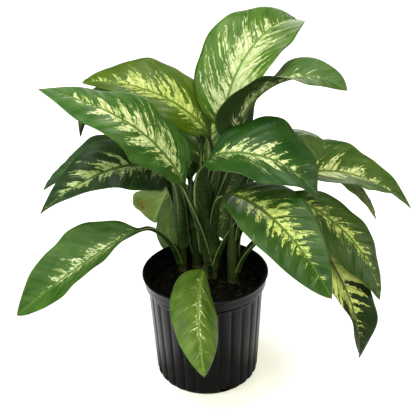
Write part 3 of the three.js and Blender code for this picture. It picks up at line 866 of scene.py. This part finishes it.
# %% Where the cream ends
begins = recipe.smooth(blade_share, recipe.minus(given["Start"], 0.06), recipe.plus(given["Start"], 0.1))
ends = recipe.smooth(blade_share, recipe.minus(given["End"], 0.4), recipe.plus(given["End"], 0.1))
body = recipe.times(begins, recipe.invert(ends))
fading = recipe.calc("POWER", body, 0.6)
scarce = recipe.times(recipe.minus(0.9, body), 0.16)


def fingers(noise):
    """1 inside a finger of cream and 0 in the green gap beside it, with fewer fingers near the tip."""
    return recipe.smooth(recipe.minus(noise, scarce), -0.04, 0.04)


longer = recipe.times(fingers(broad), recipe.plus(lengths, 1.1))
unevenness = recipe.plus(longer, recipe.times(fingers(narrow), 0.8), -0.9)
swing = recipe.plus(recipe.times(unevenness, given["Ragged"]), 1.0)
reach = recipe.times(given["Breadth"], fading, swing)
field = recipe.plus(recipe.minus(reach, out_share), recipe.times(edges, fading))
sparse = recipe.minus(specks, recipe.times(field, 0.3))
sparse = recipe.plus(sparse, recipe.times(recipe.minus(given["Speckle"], 0.85), 0.14))
holes = recipe.times(recipe.smooth(sparse, 0.0, 0.035), 0.92)
solid = recipe.times(recipe.smooth(field, -0.01, 0.018), recipe.invert(holes))
near = recipe.times(recipe.smooth(field, -0.5, -0.05), recipe.smooth(body, 0.0, 0.15))
thread = recipe.times(recipe.smooth(threads, 0.12, 0.16), near, given["Streaks"])
recipe.fill(result, {
    "Cream": recipe.calc("MAXIMUM", solid, thread),
    "Halo": recipe.smooth(recipe.minus(field, recipe.times(specks, 0.6)), -0.22, 0.05),
})
print("With the cream the group has", len(markings.nodes), "nodes")

# %% [markdown]
# The midrib is a pale band that narrows towards the tip. The side veins are thin lines where a noise that is
# drawn out along them passes through its middle value, so they are as unevenly spaced as on a real leaf.
# Mottle and flecks are softer noises, for the uneven green and for the yellow within the cream.

# %% The midrib and the side veins
rib_half = recipe.plus(recipe.times(recipe.invert(blade_share), 0.26), 0.08)
crossing = recipe.absolute(streaks(vein_place, 1.7, 0.12, 71, 1, 0.5, 1))
recipe.fill(result, {
    "Midrib": recipe.invert(recipe.smooth(recipe.minus(out, rib_half), -0.05, 0.06)),
    "Veins": recipe.invert(recipe.smooth(crossing, 0.0, 0.05)),
    "Mottle": streaks(line, 0.3, 0.45, 23, 3, 0.55, 1.6),
    "Flecks": recipe.smooth(streaks(line, 1.5, 0.8, 61, 3, 0.6, 1), -0.08, 0.14),
})
print("Node group", markings.name, "has", len(markings.nodes), "nodes")


# %% [markdown]
# ## The leaves' finish
#
# One recipe serves every leaf, and the table below gives each leaf its own greens, its own cream and its own
# share of it, matched to the photo. Two old leaves at the left have yellow and brown blotches as well. The
# lower face is duller and shows less of the pattern. A little light passes through a leaf, which the
# subsurface setting gives, and the waxy skin has a soft gloss. Four leaves that hang in shade also get pale
# greens and pale lower faces: painted light that stands for light shining through them.

# %% The leaves' colours
UNDER_GREEN = (62, 88, 38)
Look = namedtuple(
    "Look", "deep light cream breadth start end ragged speckle streaks seed under", defaults=[UNDER_GREEN],
)
IVORY = (214, 222, 168)
CREAM = (190, 200, 118)
STRAW = (142, 160, 74)
LOOKS = {
    "leaf_crown_top": Look((46, 84, 12), (104, 134, 50), (192, 200, 156), 0.4, 0, 0.86, 1.1, 1.1, 0.9, 1),
    "leaf_crown_right": Look(
        (58, 88, 32), (90, 116, 58), IVORY, 0.17, 0.1, 0.85, 1.1, 0.9, 1.2, 2, (24, 46, 6),
    ),
    "leaf_crown_left": Look((58, 84, 6), (90, 114, 16), CREAM, 0.26, 0.02, 0.95, 1, 1, 0.8, 3),
    "leaf_front_right": Look((26, 66, 18), (66, 100, 34), IVORY, 0.17, 0, 0.85, 1.1, 0.8, 0.9, 4),
    "leaf_front_left": Look((40, 84, 26), (90, 122, 50), IVORY, 0.29, 0.02, 0.95, 1.1, 0.95, 0.8, 5),
    "leaf_front_small": Look((54, 86, 16), (112, 134, 52), (226, 232, 196), 0.055, 0.1, 0.95, 0.8, 0.5, 1, 6),
    "leaf_right_drooping": Look((36, 64, 14), (78, 102, 38), CREAM, 0.14, 0.02, 0.9, 1.1, 0.9, 1, 7),
    "leaf_right_front": Look((30, 66, 10), (68, 96, 28), CREAM, 0.22, 0.02, 0.92, 1.1, 0.8, 1, 8),
    # painted light: pale greens and a pale lower face stand for light shining through this shaded leaf
    "leaf_right_curled": Look(
        (78, 110, 48), (128, 150, 88), CREAM, 0.12, 0.1, 0.8, 1, 0.6, 0.9, 9, (132, 160, 92),
    ),
    "leaf_right_far": Look((50, 82, 24), (100, 124, 56), (220, 226, 166), 0.22, 0, 0.8, 1.1, 0.8, 1, 10),
    # painted light: pale greens and a pale lower face stand for light shining through this shaded leaf
    "leaf_right_under": Look(
        (96, 118, 62), (136, 152, 92), CREAM, 0.1, 0.1, 0.8, 1, 0.7, 0.9, 11, (166, 184, 118),
    ),
    "leaf_right_low": Look((22, 42, 6), (46, 66, 14), (200, 208, 124), 0.62, 0, 0.85, 1, 0.7, 0.8, 12),
    "leaf_left_middle": Look((24, 50, 18), (60, 84, 42), (178, 192, 138), 0.24, 0.02, 0.95, 1.25, 0.9, 1, 33),
    "leaf_left_low": Look((44, 80, 20), (86, 116, 46), (214, 222, 176), 0.13, 0.02, 0.85, 1.1, 0.9, 0.8, 14),
    "leaf_left_arching": Look((30, 58, 26), (66, 92, 54), STRAW, 0.16, 0.05, 0.9, 1, 0.9, 0.7, 15),
    "leaf_left_upper": Look((30, 54, 12), (66, 90, 28), CREAM, 0.2, 0.05, 0.9, 1, 0.9, 0.8, 16),
    # painted light: besides its real yellowing, this leaf's pale greens and pale lower face stand for light
    # shining through it
    "leaf_left_yellowing": Look(
        (70, 96, 36), (132, 148, 70), CREAM, 0.1, 0.1, 0.8, 1, 0.8, 0.9, 17, (132, 158, 84),
    ),
    # painted light: pale greens and a pale lower face stand for light shining through this shaded leaf
    "leaf_left_hanging": Look(
        (64, 96, 40), (124, 152, 92), CREAM, 0.16, 0.1, 0.9, 1, 0.9, 1, 18, (136, 170, 100),
    ),
    "leaf_back_top": Look((46, 82, 22), (88, 120, 48), CREAM, 0.3, 0.02, 0.95, 1, 0.8, 0.9, 19),
    "leaf_back_left": Look((38, 72, 20), (76, 104, 42), CREAM, 0.26, 0.02, 0.95, 1.1, 0.8, 0.9, 20),
    "leaf_back_right": Look((40, 76, 20), (80, 110, 44), CREAM, 0.28, 0.02, 0.9, 1.1, 0.8, 0.9, 21),
    "leaf_back_low": Look((46, 80, 24), (86, 114, 48), CREAM, 0.2, 0.05, 0.9, 1, 0.8, 0.8, 22),
    "leaf_back_left_low": Look((44, 76, 24), (82, 110, 44), STRAW, 0.2, 0.02, 0.9, 1, 0.9, 0.8, 23),
    "leaf_back_right_low": Look((50, 84, 26), (90, 120, 50), CREAM, 0.16, 0.05, 0.85, 1, 0.9, 0.8, 24),
}
Blotch = namedtuple("Blotch", "share across size tint")
BLOTCHES = {
    "leaf_left_yellowing": [
        Blotch(0.82, 0.4, 0.22, (126, 138, 44)),
        Blotch(0.68, 0.72, 0.14, (146, 116, 12)),
        Blotch(0.68, 0.71, 0.06, (92, 66, 8)),
        Blotch(0.97, 0.1, 0.09, (112, 88, 18)),
    ],
    "leaf_left_hanging": [Blotch(0.62, -0.34, 0.06, (206, 196, 100))],
}
# partly painted shade: the stalks' green is made darker for the shade that the leaves cast on them
STALK_GREEN_AND_SHADE = colour(16, 36, 4)
STALK_MIDDLE = colour(50, 76, 18)
STALK_PALE = colour(118, 140, 74)
WING_PALE = colour(158, 174, 116)
RIB_GREEN = colour(92, 128, 50)
# painted light: the thin pale rim where light shines through a leaf's thin edge
RIM_LIGHT_GREEN = colour(128, 156, 90)
DRY_BROWN = colour(104, 84, 46)
print("Colours for", len(LOOKS), "leaves, with blotches on", len(BLOTCHES))


# %% [markdown]
# The material builds its colour in layers, as a painter would: greens, cream, midrib and margin for the
# blade, then the lower face, the blotches and the stalk. Each layer is a Mix node whose factor is a mask.

# %% The leaves' finish
SEED_STEP = 9.1  # keeps the noise of one leaf away from the next leaf's


def blade_colour(recipe, look, masks, blade_share, across_share):
    """The upper face: greens, the cream, the midrib, a painted rim of light along the margin and a dry tip."""
    light = colour(*look.light)
    green = recipe.mix(recipe.plus(masks["Mottle"], 0.3, clamp=True), colour(*look.deep), light)
    green = recipe.layer(green, light, masks["Halo"], 0.5)
    green = recipe.layer(green, light, masks["Veins"], 0.3)
    cream = recipe.layer(colour(*look.cream), colour(*STRAW), masks["Flecks"], 0.7)
    face = recipe.mix(masks["Cream"], green, cream)
    face = recipe.layer(face, recipe.mix(0.3, light, RIB_GREEN), masks["Midrib"], 0.92)
    # the margin is painted paler here, a painted rim of light along the thin edge
    margin = recipe.smooth(recipe.absolute(across_share), 0.96, 1.0)
    face = recipe.layer(face, RIM_LIGHT_GREEN, margin, 0.5)
    return recipe.mix(recipe.smooth(blade_share, 0.975, 0.995), face, DRY_BROWN)


def blotched(recipe, face, blotches, share, flecks):
    """Adds an old leaf's blotches, with edges frayed by the flecks."""
    for blotch in blotches:
        away = recipe.distance(share, (blotch.share, blotch.across, 0))
        frayed = recipe.plus(away, recipe.scale(flecks, 0.0, blotch.size))
        spot = recipe.invert(recipe.smooth(frayed, blotch.size, blotch.size * 1.5))
        face = recipe.layer(face, colour(*blotch.tint), spot, 0.85)
    return face


def stalk_colour(recipe, look, grain, along, beside, across_share, near_root):
    """Dark grained green, partly painted shade from the leaves above, with pale marbling, paler at the wings
    and at the sheath round the cane.
    """
    petiole = recipe.mix(recipe.smooth(grain, 0.36, 0.66), STALK_GREEN_AND_SHADE, STALK_MIDDLE)
    place = recipe.vector(recipe.times(along, 1.1), recipe.times(beside, 5), look.seed)
    marbled = recipe.smooth(recipe.noise(place, 1.5, 4, 0.65), 0.54, 0.66)
    petiole = recipe.layer(petiole, STALK_PALE, marbled, 0.45)
    wing = recipe.smooth(recipe.absolute(across_share), 0.84, 0.97)
    petiole = recipe.layer(petiole, WING_PALE, wing, 0.6)
    return recipe.layer(petiole, STALK_PALE, recipe.smooth(near_root, 0.85, 1.0), 0.25)


def leaf_material(name, look):
    material, recipe, surface = new_material(name)
    measure = recipe.attribute("measure")
    along, beside, _ = recipe.split(measure)
    share = recipe.attribute("share")
    blade_share, across_share, _ = recipe.split(share)
    below, stalkness, near_root = recipe.split(recipe.attribute("part"))
    inputs = {"Measure": measure, "Share": share, "Seed": look.seed * SEED_STEP}
    for key in ("Breadth", "Start", "End", "Ragged", "Speckle", "Streaks"):
        inputs[key] = getattr(look, key.lower())
    masks = recipe.add("ShaderNodeGroup", inputs, node_tree=markings).outputs

    face = blade_colour(recipe, look, masks, blade_share, across_share)
    # for four shaded leaves the pale lower-face colour is painted light shining through them
    under = recipe.mix(recipe.scale(masks["Cream"], 0.7, 0.35), face, colour(*look.under))
    face = recipe.mix(below, face, under)
    face = blotched(recipe, face, BLOTCHES.get(name, []), share, masks["Flecks"])
    grain_place = recipe.vector(recipe.times(along, 0.5), recipe.times(beside, 9), 0.5)
    grain = recipe.noise(grain_place, 1.6, 3)
    petiole = stalk_colour(recipe, look, grain, along, beside, across_share, near_root)
    gloss = recipe.scale(recipe.noise(measure, 2.2, 3), 0.32, 0.5)
    dull = recipe.times(recipe.calc("MAXIMUM", below, stalkness), 0.2)
    relief = recipe.plus(recipe.times(masks["Veins"], -1.0), recipe.times(grain, stalkness))
    recipe.fill(surface, {
        "Base Color": recipe.mix(stalkness, face, petiole),
        "Roughness": recipe.plus(gloss, dull),
        "Normal": recipe.bump(relief, 0.25 * MM, 0.6),
        "Specular IOR Level": 0.32,
        "Subsurface Weight": 0.06,
        "Subsurface Radius": (0.6, 1.0, 0.25),
        "Subsurface Scale": 3 * MM,
    })
    return material


for name, piece in leaf_pieces.items():
    finish_piece(piece, leaf_material(name, LOOKS[name]), [name])


# %% [markdown]
# ## The canes
#
# Each cane is a thick green stem with a ring wherever an old leaf has fallen, and ends in a furled young
# leaf. A cylinder is subdivided along its length, and its rows are moved in and out: swollen at the rings,
# waisted between them and drawn to a point at the top. The rings are plain at the soil and fade higher up,
# where the stem is still green.

# %% The canes
CANE_SIDES = 32
CANE_CUTS = (9, 14)
STEM_HOLE_DEPTH = 70
RING_SPACING = 12
RING_SWELL = 0.7
RING_WAIST = 0.35
SCARRED_HEIGHT = 60
SPEAR_LENGTH = 36


def model_cane(name, cane):
    start_fresh()
    bottom = SOIL_TOP - STEM_HOLE_DEPTH
    bpy.ops.mesh.primitive_cylinder_add(vertices=CANE_SIDES, radius=1, depth=1)
    piece = named(name)
    add_rows(piece, CANE_CUTS)
    rows = places(piece) * MM
    height = bottom + (rows[:, 2] + 0.5) * (cane.tip_height - bottom)
    above = height - SOIL_TOP
    slope = above / (cane.tip_height - SOIL_TOP)
    radius = cane.foot_radius + (cane.tip_radius - cane.foot_radius) * np.clip(slope, 0, 1)
    turn = np.arctan2(rows[:, 1], rows[:, 0])
    ring = (above - RING_SPACING / 2 + 0.6 * np.sin(turn + cane.foot[0])) / RING_SPACING
    swell = RING_SWELL * (0.5 + 0.5 * np.cos(2 * math.pi * ring)) ** 6
    scarred = np.clip(1 - above / SCARRED_HEIGHT, 0.25, 1)
    radius = radius + scarred * (swell - RING_WAIST * np.sin(math.pi * ring) ** 2)
    to_point = np.clip((cane.tip_height - height) / SPEAR_LENGTH, 0.02, 1)
    radius = radius * to_point**0.75 * (1 + 0.03 * np.sin(3 * turn + height * 0.05))
    x = cane.foot[0] + (cane.tip[0] - cane.foot[0]) * slope + radius * np.cos(turn)
    y = cane.foot[1] + (cane.tip[1] - cane.foot[1]) * slope + radius * np.sin(turn)
    move_to(piece, np.stack([x, y, height], -1))
    store(piece, "ring", np.stack([ring, turn, above / cane.bare], -1))
    piece.data.shade_smooth()
    return piece


cane_pieces = {name: model_cane(f"cane_{name}", cane) for name, cane in CANES.items()}
print(len(cane_pieces), "canes")

# %% [markdown]
# The foot of each cane is tan and scarred, the middle one's for a few centimetres. Above it the skin is a
# deep olive green, with a thin brown line at each low ring and fine lengthwise streaks.

# %% The canes' finish
material, recipe, surface = new_material("cane_skin")
ring, _, bareness = recipe.split(recipe.attribute("ring"))
streak = recipe.noise(recipe.stretched(recipe.place(), (300, 300, 40)), 1.0, 4)
green = recipe.mix(streak, colour(40, 60, 18), colour(68, 86, 34))
tan = recipe.mix(streak, colour(84, 74, 46), colour(136, 124, 84))
old = recipe.invert(recipe.smooth(bareness, 0.4, 1.0))
from_ring = recipe.absolute(recipe.minus(recipe.calc("FRACT", recipe.plus(ring, 0.5)), 0.5))
line = recipe.times(recipe.invert(recipe.smooth(from_ring, 0.03, 0.1)), recipe.scale(old, 0.12, 0.7))
recipe.fill(surface, {
    "Base Color": recipe.mix(line, recipe.mix(old, green, tan), colour(62, 50, 30)),
    "Roughness": recipe.scale(streak, 0.42, 0.6),
    "Normal": recipe.bump(streak, 0.3 * MM, 0.6),
})
for name, piece in cane_pieces.items():
    finish_piece(piece, material, [f"cane_{name}"])


# %% [markdown]
# ## The soil
#
# Potting mix is a bed of dark crumbs with some bark. The bed is a cylinder whose top is inset many times, so
# that it has rings of faces to push up and down. The crumbs are small icospheres, squashed and scattered
# over it: modelled once, copied and joined into one piece. Drier ones fill the drain holes.

# %% The soil bed
SOIL_INSETS = 44
SOIL_SIDES = 150
INSET_STEP = 2.3
LUMP_ROOM = 6

start_fresh()
soil_depth = (soil_high.z - soil_low.z) / MM - LUMP_ROOM
bpy.ops.mesh.primitive_cylinder_add(
    vertices=SOIL_SIDES, radius=SOIL_RADIUS * MM, depth=soil_depth * MM,
    location=(0, 0, (soil_low.z / MM + soil_depth / 2) * MM),
)
soil = named("soil_bed")
bpy.ops.object.transform_apply(location=True)
pick(soil, "polygons", lambda face: face.normal.z > 0.9)
for _ in range(SOIL_INSETS):
    bpy.ops.mesh.inset(thickness=INSET_STEP * MM)
bpy.ops.object.mode_set(mode="OBJECT")
print("The soil bed has", len(soil.data.polygons), "faces")


# %% [markdown]
# Poured soil is uneven and stands a little higher in the middle. Every vertex of the bed's top is moved up or
# down by one formula. Its broad lumps are the CAD model's, so that the two surfaces agree.

# %% Shape the soil bed
SOIL_CROWN = 5
SOIL_EDGE = 20
SOIL_FOOT_RADIUS = 95.1


def soil_height(x, y):
    """The height of the soil at a place, in millimetres: the CAD model's broad lumps and finer crumbs."""
    radius = np.hypot(x, y)
    broad = np.sin(x * 0.11 + 1.3) * np.cos(y * 0.13)
    small = np.sin(x * 0.31 - y * 0.27)
    fine = np.sin(x * 0.9 + 2 * np.sin(y * 0.7)) * np.sin(y * 0.83 + 1.7 * np.sin(x * 0.6))
    crown = SOIL_CROWN * (1 - radius / SOIL_RADIUS)
    edge = np.clip((SOIL_RADIUS - radius) / SOIL_EDGE, 0, 1)
    return SOIL_TOP + crown + 2.2 * (broad + 0.6 * small) * edge + 0.9 * fine


rows = places(soil)
foot = rows[:, 2] < SOIL_TOP - 20
rows[foot, :2] *= SOIL_FOOT_RADIUS / SOIL_RADIUS
rows[~foot, 2] = soil_height(rows[~foot, 0], rows[~foot, 1])
move_to(soil, rows)
soil.data.shade_smooth()
print(f"The soil lies between {rows[~foot, 2].min():.1f} and {rows[~foot, 2].max():.1f} mm above the floor")

# %% [markdown]
# Loose crumbs and chips break the bed's smooth outline. Each is the same small icosphere, roughened, squashed
# and turned by seeded random numbers, so that every run gives the same soil.

# %% Scatter the crumbs and the bark
CRUMBS = 1100
BARK_CHIPS = 60
CANE_GAP = 2
DRAIN_AZIMUTHS = (-70, 20, 110, 200)
DRAIN_HALF_WIDTH = 10.5
DRAIN_HALF_HEIGHT = 8.5
DRAIN_MIDDLE = 14
CRUMBS_PER_HOLE = 34
HOLE_RADII = (95, 97)


def spots_on_top(count):
    """Random places on the soil, in millimetres, that keep clear of the canes."""
    spots = []
    while len(spots) < count:
        angle, radius = rng.uniform(0, 2 * math.pi), math.sqrt(rng.uniform(0, 1)) * (SOIL_RADIUS - 3)
        x, y = radius * math.cos(angle), radius * math.sin(angle)
        gaps = [math.dist((x, y), cane.foot) - cane.foot_radius for cane in CANES.values()]
        if min(gaps) > CANE_GAP:
            spots.append((x, y, soil_height(x, y) + 0.3))
    return spots


def spots_in_holes(count):
    """Random places just inside each of the pot's drain holes."""
    spots = []
    for azimuth in DRAIN_AZIMUTHS:
        for _ in range(count):
            turn, reach = rng.uniform(0, 2 * math.pi), math.sqrt(rng.uniform(0, 1)) * 0.85
            radius = rng.uniform(*HOLE_RADII)
            angle = math.radians(azimuth) + DRAIN_HALF_WIDTH * reach * math.cos(turn) / radius
            height = DRAIN_MIDDLE + DRAIN_HALF_HEIGHT * reach * math.sin(turn)
            spots.append((radius * math.cos(angle), radius * math.sin(angle), height))
    return spots


def scatter(name, spots, sizes, flatness):
    start_fresh()
    bpy.ops.mesh.primitive_ico_sphere_add(subdivisions=1, radius=1)
    model = bpy.context.object
    shape = places(model) * MM
    faces = np.array([list(face.vertices) for face in model.data.polygons])
    bpy.data.objects.remove(model)
    points, sides = [], []
    for spot in spots:
        size = rng.uniform(*sizes)
        lumpy = shape * (1 + rng.uniform(-0.28, 0.28, (len(shape), 1)))
        stretched = lumpy * size * np.array([1, rng.uniform(0.45, 0.9), flatness * rng.uniform(0.6, 1.2)])
        turn = Matrix.Rotation(rng.uniform(0, 6.28), 3, "Z") @ Matrix.Rotation(rng.uniform(-0.5, 0.5), 3, "X")
        sides.append(faces + len(points) * len(shape))
        points.append(stretched @ np.array(turn).T + np.array(spot))
    mesh = bpy.data.meshes.new(name)
    mesh.from_pydata((np.vstack(points) * MM).tolist(), [], np.vstack(sides).tolist())
    return new_piece(name, mesh)


crumbs = scatter("soil_crumbs", spots_on_top(CRUMBS), (0.9, 3.2), 0.8)
bark = scatter("soil_bark", spots_on_top(BARK_CHIPS), (2.5, 6.0), 0.35)
plugs = scatter("soil_in_drain_holes", spots_in_holes(CRUMBS_PER_HOLE), (0.9, 1.8), 0.8)
crumbs.data.shade_smooth()
print("Scattered", CRUMBS, "crumbs and", BARK_CHIPS, "bark chips")

# %% [markdown]
# The soil's colour is a dark brown that turns nearly black in patches set by noise. Colour and bump come from
# two noises of different size, one for crumbs and one for clods.


# %% The soil's finish
def soil_material(name, dark, light):
    material, recipe, surface = new_material(name)
    place = recipe.place()
    clods = recipe.noise(place, 60, 4, 0.6)
    crumb = recipe.noise(place, 420, 4, 0.7)
    tone = recipe.times(recipe.smooth(clods, 0.35, 0.7), recipe.smooth(crumb, 0.3, 0.75))
    recipe.fill(surface, {
        "Base Color": recipe.mix(tone, colour(*dark), colour(*light)),
        "Roughness": recipe.scale(crumb, 0.75, 1.0),
        "Normal": recipe.bump(crumb, 1.2 * MM, 1.0),
        "Specular IOR Level": 0.25,
    })
    return material


for piece, name, dark, light, nodes in (
    (soil, "potting_mix", (12, 11, 8), (46, 40, 30), ["soil"]),
    (crumbs, "potting_crumbs", (16, 14, 11), (92, 80, 62), []),
    (bark, "bark", (30, 24, 18), (112, 92, 68), []),
    (plugs, "dry_mix", (40, 33, 25), (118, 98, 72), []),
):
    finish_piece(piece, soil_material(name, dark, light), nodes)


# %% [markdown]
# ## The pot
#
# A nursery pot is one thin moulded wall: a floor, a fluted side, a smooth band with a groove at its top, a
# collar with a rolled lip, and fine rings inside the rim. Its profile is drawn as a chain of points and spun
# about the upright axis, as a turner would cut it. The flutes are then pressed into the outside: narrow
# valleys with rounded tops between broad panels.

# %% Spin the pot
WALL = 1.9
FLOOR_THICKNESS = 3
COLLAR_BOTTOM = 194
SHOULDER_RADIUS = 108
BASE_RADIUS = 99
LIP = 2.6
GROOVE_REACH = 1.5
RIM_RINGS = 5
RIM_RING_STEP = 3.6
FLUTES = 28
FLUTE_TOP = 186
FLUTE_DEPTH = 2.2
STEPS_PER_FLUTE = 12


def wall_radius(height):
    return BASE_RADIUS + (SHOULDER_RADIUS - BASE_RADIUS) * height / COLLAR_BOTTOM


def arc(centre, radius, first, last, count):
    """Points on a round corner, from one angle to another, in the profile's plane."""
    turns = np.radians(np.linspace(first, last, count))
    return [(centre[0] + radius * math.cos(a), centre[1] + radius * math.sin(a)) for a in turns]


collar = RIM_RADIUS - LIP
profile = [(0.01, 0), (BASE_RADIUS - 8, 0)]
profile += [(BASE_RADIUS - 5, 0.4), (BASE_RADIUS - 0.6, 4.4), (wall_radius(6), 6)]
profile += [(wall_radius(z), z) for z in range(12, 174, 6)]
profile += [(wall_radius(z), z) for z in range(175, 188, 2)]
profile += [(wall_radius(188), 188), (wall_radius(189) - GROOVE_REACH, 188.8)]
profile += [(wall_radius(193) - GROOVE_REACH, 193.6)]
profile += [(SHOULDER_RADIUS + 0.4, COLLAR_BOTTOM - 0.1), (collar - 2.6, COLLAR_BOTTOM + 0.2)]
profile += [(collar - 1.5, COLLAR_BOTTOM + 0.9), (collar - 1.1, COLLAR_BOTTOM + 2.4)]
profile += [(collar - 0.5, COLLAR_BOTTOM + 11), (collar, POT_HEIGHT - 2 * LIP - 1.4)]
profile += arc((collar, POT_HEIGHT - LIP), LIP, -80, 180, 12)
inner = collar - 1.1 - WALL
for ring in range(RIM_RINGS):
    height = POT_HEIGHT - 7 - RIM_RING_STEP * ring
    profile += [(inner + 0.7, height + 1.3), (inner - 0.5, height + 0.7)]
    profile += [(inner - 0.5, height - 0.7), (inner + 0.7, height - 1.3)]
profile += [(inner, COLLAR_BOTTOM + 3)]
profile += [(wall_radius(COLLAR_BOTTOM) - WALL - FLUTE_DEPTH + 0.6, COLLAR_BOTTOM)]
profile += [(wall_radius(z) - WALL - FLUTE_DEPTH, z) for z in (180, 140, 100, 60, 20)]
profile += [(wall_radius(FLOOR_THICKNESS) - WALL - FLUTE_DEPTH, FLOOR_THICKNESS), (0.01, FLOOR_THICKNESS)]

start_fresh()
line = bpy.data.meshes.new("profile")
line.from_pydata([(x * MM, 0, z * MM) for x, z in profile], [(i, i + 1) for i in range(len(profile) - 1)], [])
pot = new_piece("pot_moulded", line)
activate(pot)
bpy.ops.object.mode_set(mode="EDIT")
bpy.ops.mesh.select_all(action="SELECT")
bpy.ops.mesh.spin(steps=FLUTES * STEPS_PER_FLUTE, angle=2 * math.pi, center=(0, 0, 0), axis=(0, 0, 1))
bpy.ops.mesh.select_all(action="SELECT")
bpy.ops.mesh.remove_doubles(threshold=0.02 * MM)
bpy.ops.mesh.normals_make_consistent(inside=False)
bpy.ops.object.mode_set(mode="OBJECT")
print("The pot's profile has", len(profile), "points")

# %% [markdown]
# The flutes are pressed in by moving the outer skin towards the axis, most in the middle of a valley. The
# drain holes are cut by oval cylinders with a Boolean modifier, because they go through the wall just above
# the floor, across its rows and its flutes.

# %% Press the flutes and cut the drain holes
OUTER_SKIN = 1.2  # what lies this close to the wall's outside is pressed
VALLEY_SHARE = 0.36
PANEL_CROWN = 0.45
FLUTE_ROUNDING = 7
CUTTER_SIDES = 20
CUTTER_LENGTH = 16
SMOOTH_ANGLE = 38

rows = places(pot)
radius = np.hypot(rows[:, 0], rows[:, 1])
height = rows[:, 2]
turn = np.arctan2(rows[:, 1], rows[:, 0]) / (2 * math.pi) * FLUTES
from_valley = np.abs(turn - np.round(turn)) * 2
outside = (radius > wall_radius(height) - OUTER_SKIN) & (height > 0.2) & (height < FLUTE_TOP + 1)
rounding = np.sqrt(np.clip((FLUTE_TOP - height) / FLUTE_ROUNDING, 0, 1))
valley = FLUTE_DEPTH * np.clip(1 - from_valley / VALLEY_SHARE, 0, 1) ** 0.8
crown = PANEL_CROWN * (from_valley**2 - 1)
press = np.where(outside, (valley - crown) * rounding, 0)
rows[:, :2] *= (1 - press / np.maximum(radius, 1))[:, None]
move_to(pot, rows)

for azimuth in DRAIN_AZIMUTHS:
    start_fresh()
    out = Matrix.Rotation(math.radians(azimuth), 3, "Z") @ Vector((BASE_RADIUS - 3, 0, 0))
    bpy.ops.mesh.primitive_cylinder_add(
        vertices=CUTTER_SIDES, radius=1, depth=1, location=(out.x * MM, out.y * MM, DRAIN_MIDDLE * MM),
        rotation=(0, math.pi / 2, math.radians(azimuth)),
    )
    cutter = bpy.context.object
    cutter.scale = (DRAIN_HALF_HEIGHT * MM, DRAIN_HALF_WIDTH * MM, CUTTER_LENGTH * MM)
    bpy.ops.object.transform_apply(location=True, rotation=True, scale=True)
    activate(pot)
    cut = pot.modifiers.new("drain", "BOOLEAN")
    cut.operation = "DIFFERENCE"
    cut.solver = "EXACT"
    cut.object = cutter
    bpy.ops.object.modifier_apply(modifier=cut.name)
    bpy.data.objects.remove(cutter)
activate(pot)
bpy.ops.object.shade_smooth_by_angle(angle=math.radians(SMOOTH_ANGLE))
print("The pot has", len(pot.data.polygons), "faces and", len(DRAIN_AZIMUTHS), "drain holes")

# %% [markdown]
# The plastic is nearly black with a dull gloss. It is never quite clean: a little soil dust lies on it in
# clouds, most of it near the foot, fine scratches run round it, and the gloss varies from spot to spot. The
# groove below the collar is rough and so stays dark.

# %% The pot's finish
GROOVE_MIDDLE = 191

material, recipe, surface = new_material("black_plastic")
place = recipe.place()
_, _, height = recipe.split(place)
clouds = recipe.noise(place, 22, 4, 0.6)
fine = recipe.noise(place, 900, 2, 0.5)
scratches = recipe.noise(recipe.stretched(place, (12, 12, 700)), 1.0, 3, 0.6)
scratches = recipe.smooth(scratches, 0.62, 0.72)
low_down = recipe.invert(recipe.smooth(height, 0.0, 50 * MM))
dust = recipe.plus(recipe.times(low_down, 0.5), 0.25)
dust = recipe.times(dust, recipe.smooth(clouds, 0.45, 0.8))
plastic = recipe.mix(clouds, (0.003, 0.0034, 0.0038, 1), (0.006, 0.0065, 0.007, 1))
gloss = recipe.plus(recipe.scale(clouds, 0.27, 0.35), recipe.times(scratches, 0.1))
from_groove = recipe.absolute(recipe.minus(height, GROOVE_MIDDLE * MM))
groove = recipe.invert(recipe.smooth(from_groove, 2.2 * MM, 3 * MM))
recipe.fill(surface, {
    "Base Color": recipe.layer(plastic, colour(84, 78, 70), dust, 0.12),
    "Roughness": recipe.plus(gloss, groove, clamp=True),
    "Normal": recipe.bump(recipe.plus(fine, scratches), 0.05 * MM, 0.35),
    "Specular IOR Level": 0.25,
})
finish_piece(pot, material, ["pot"])
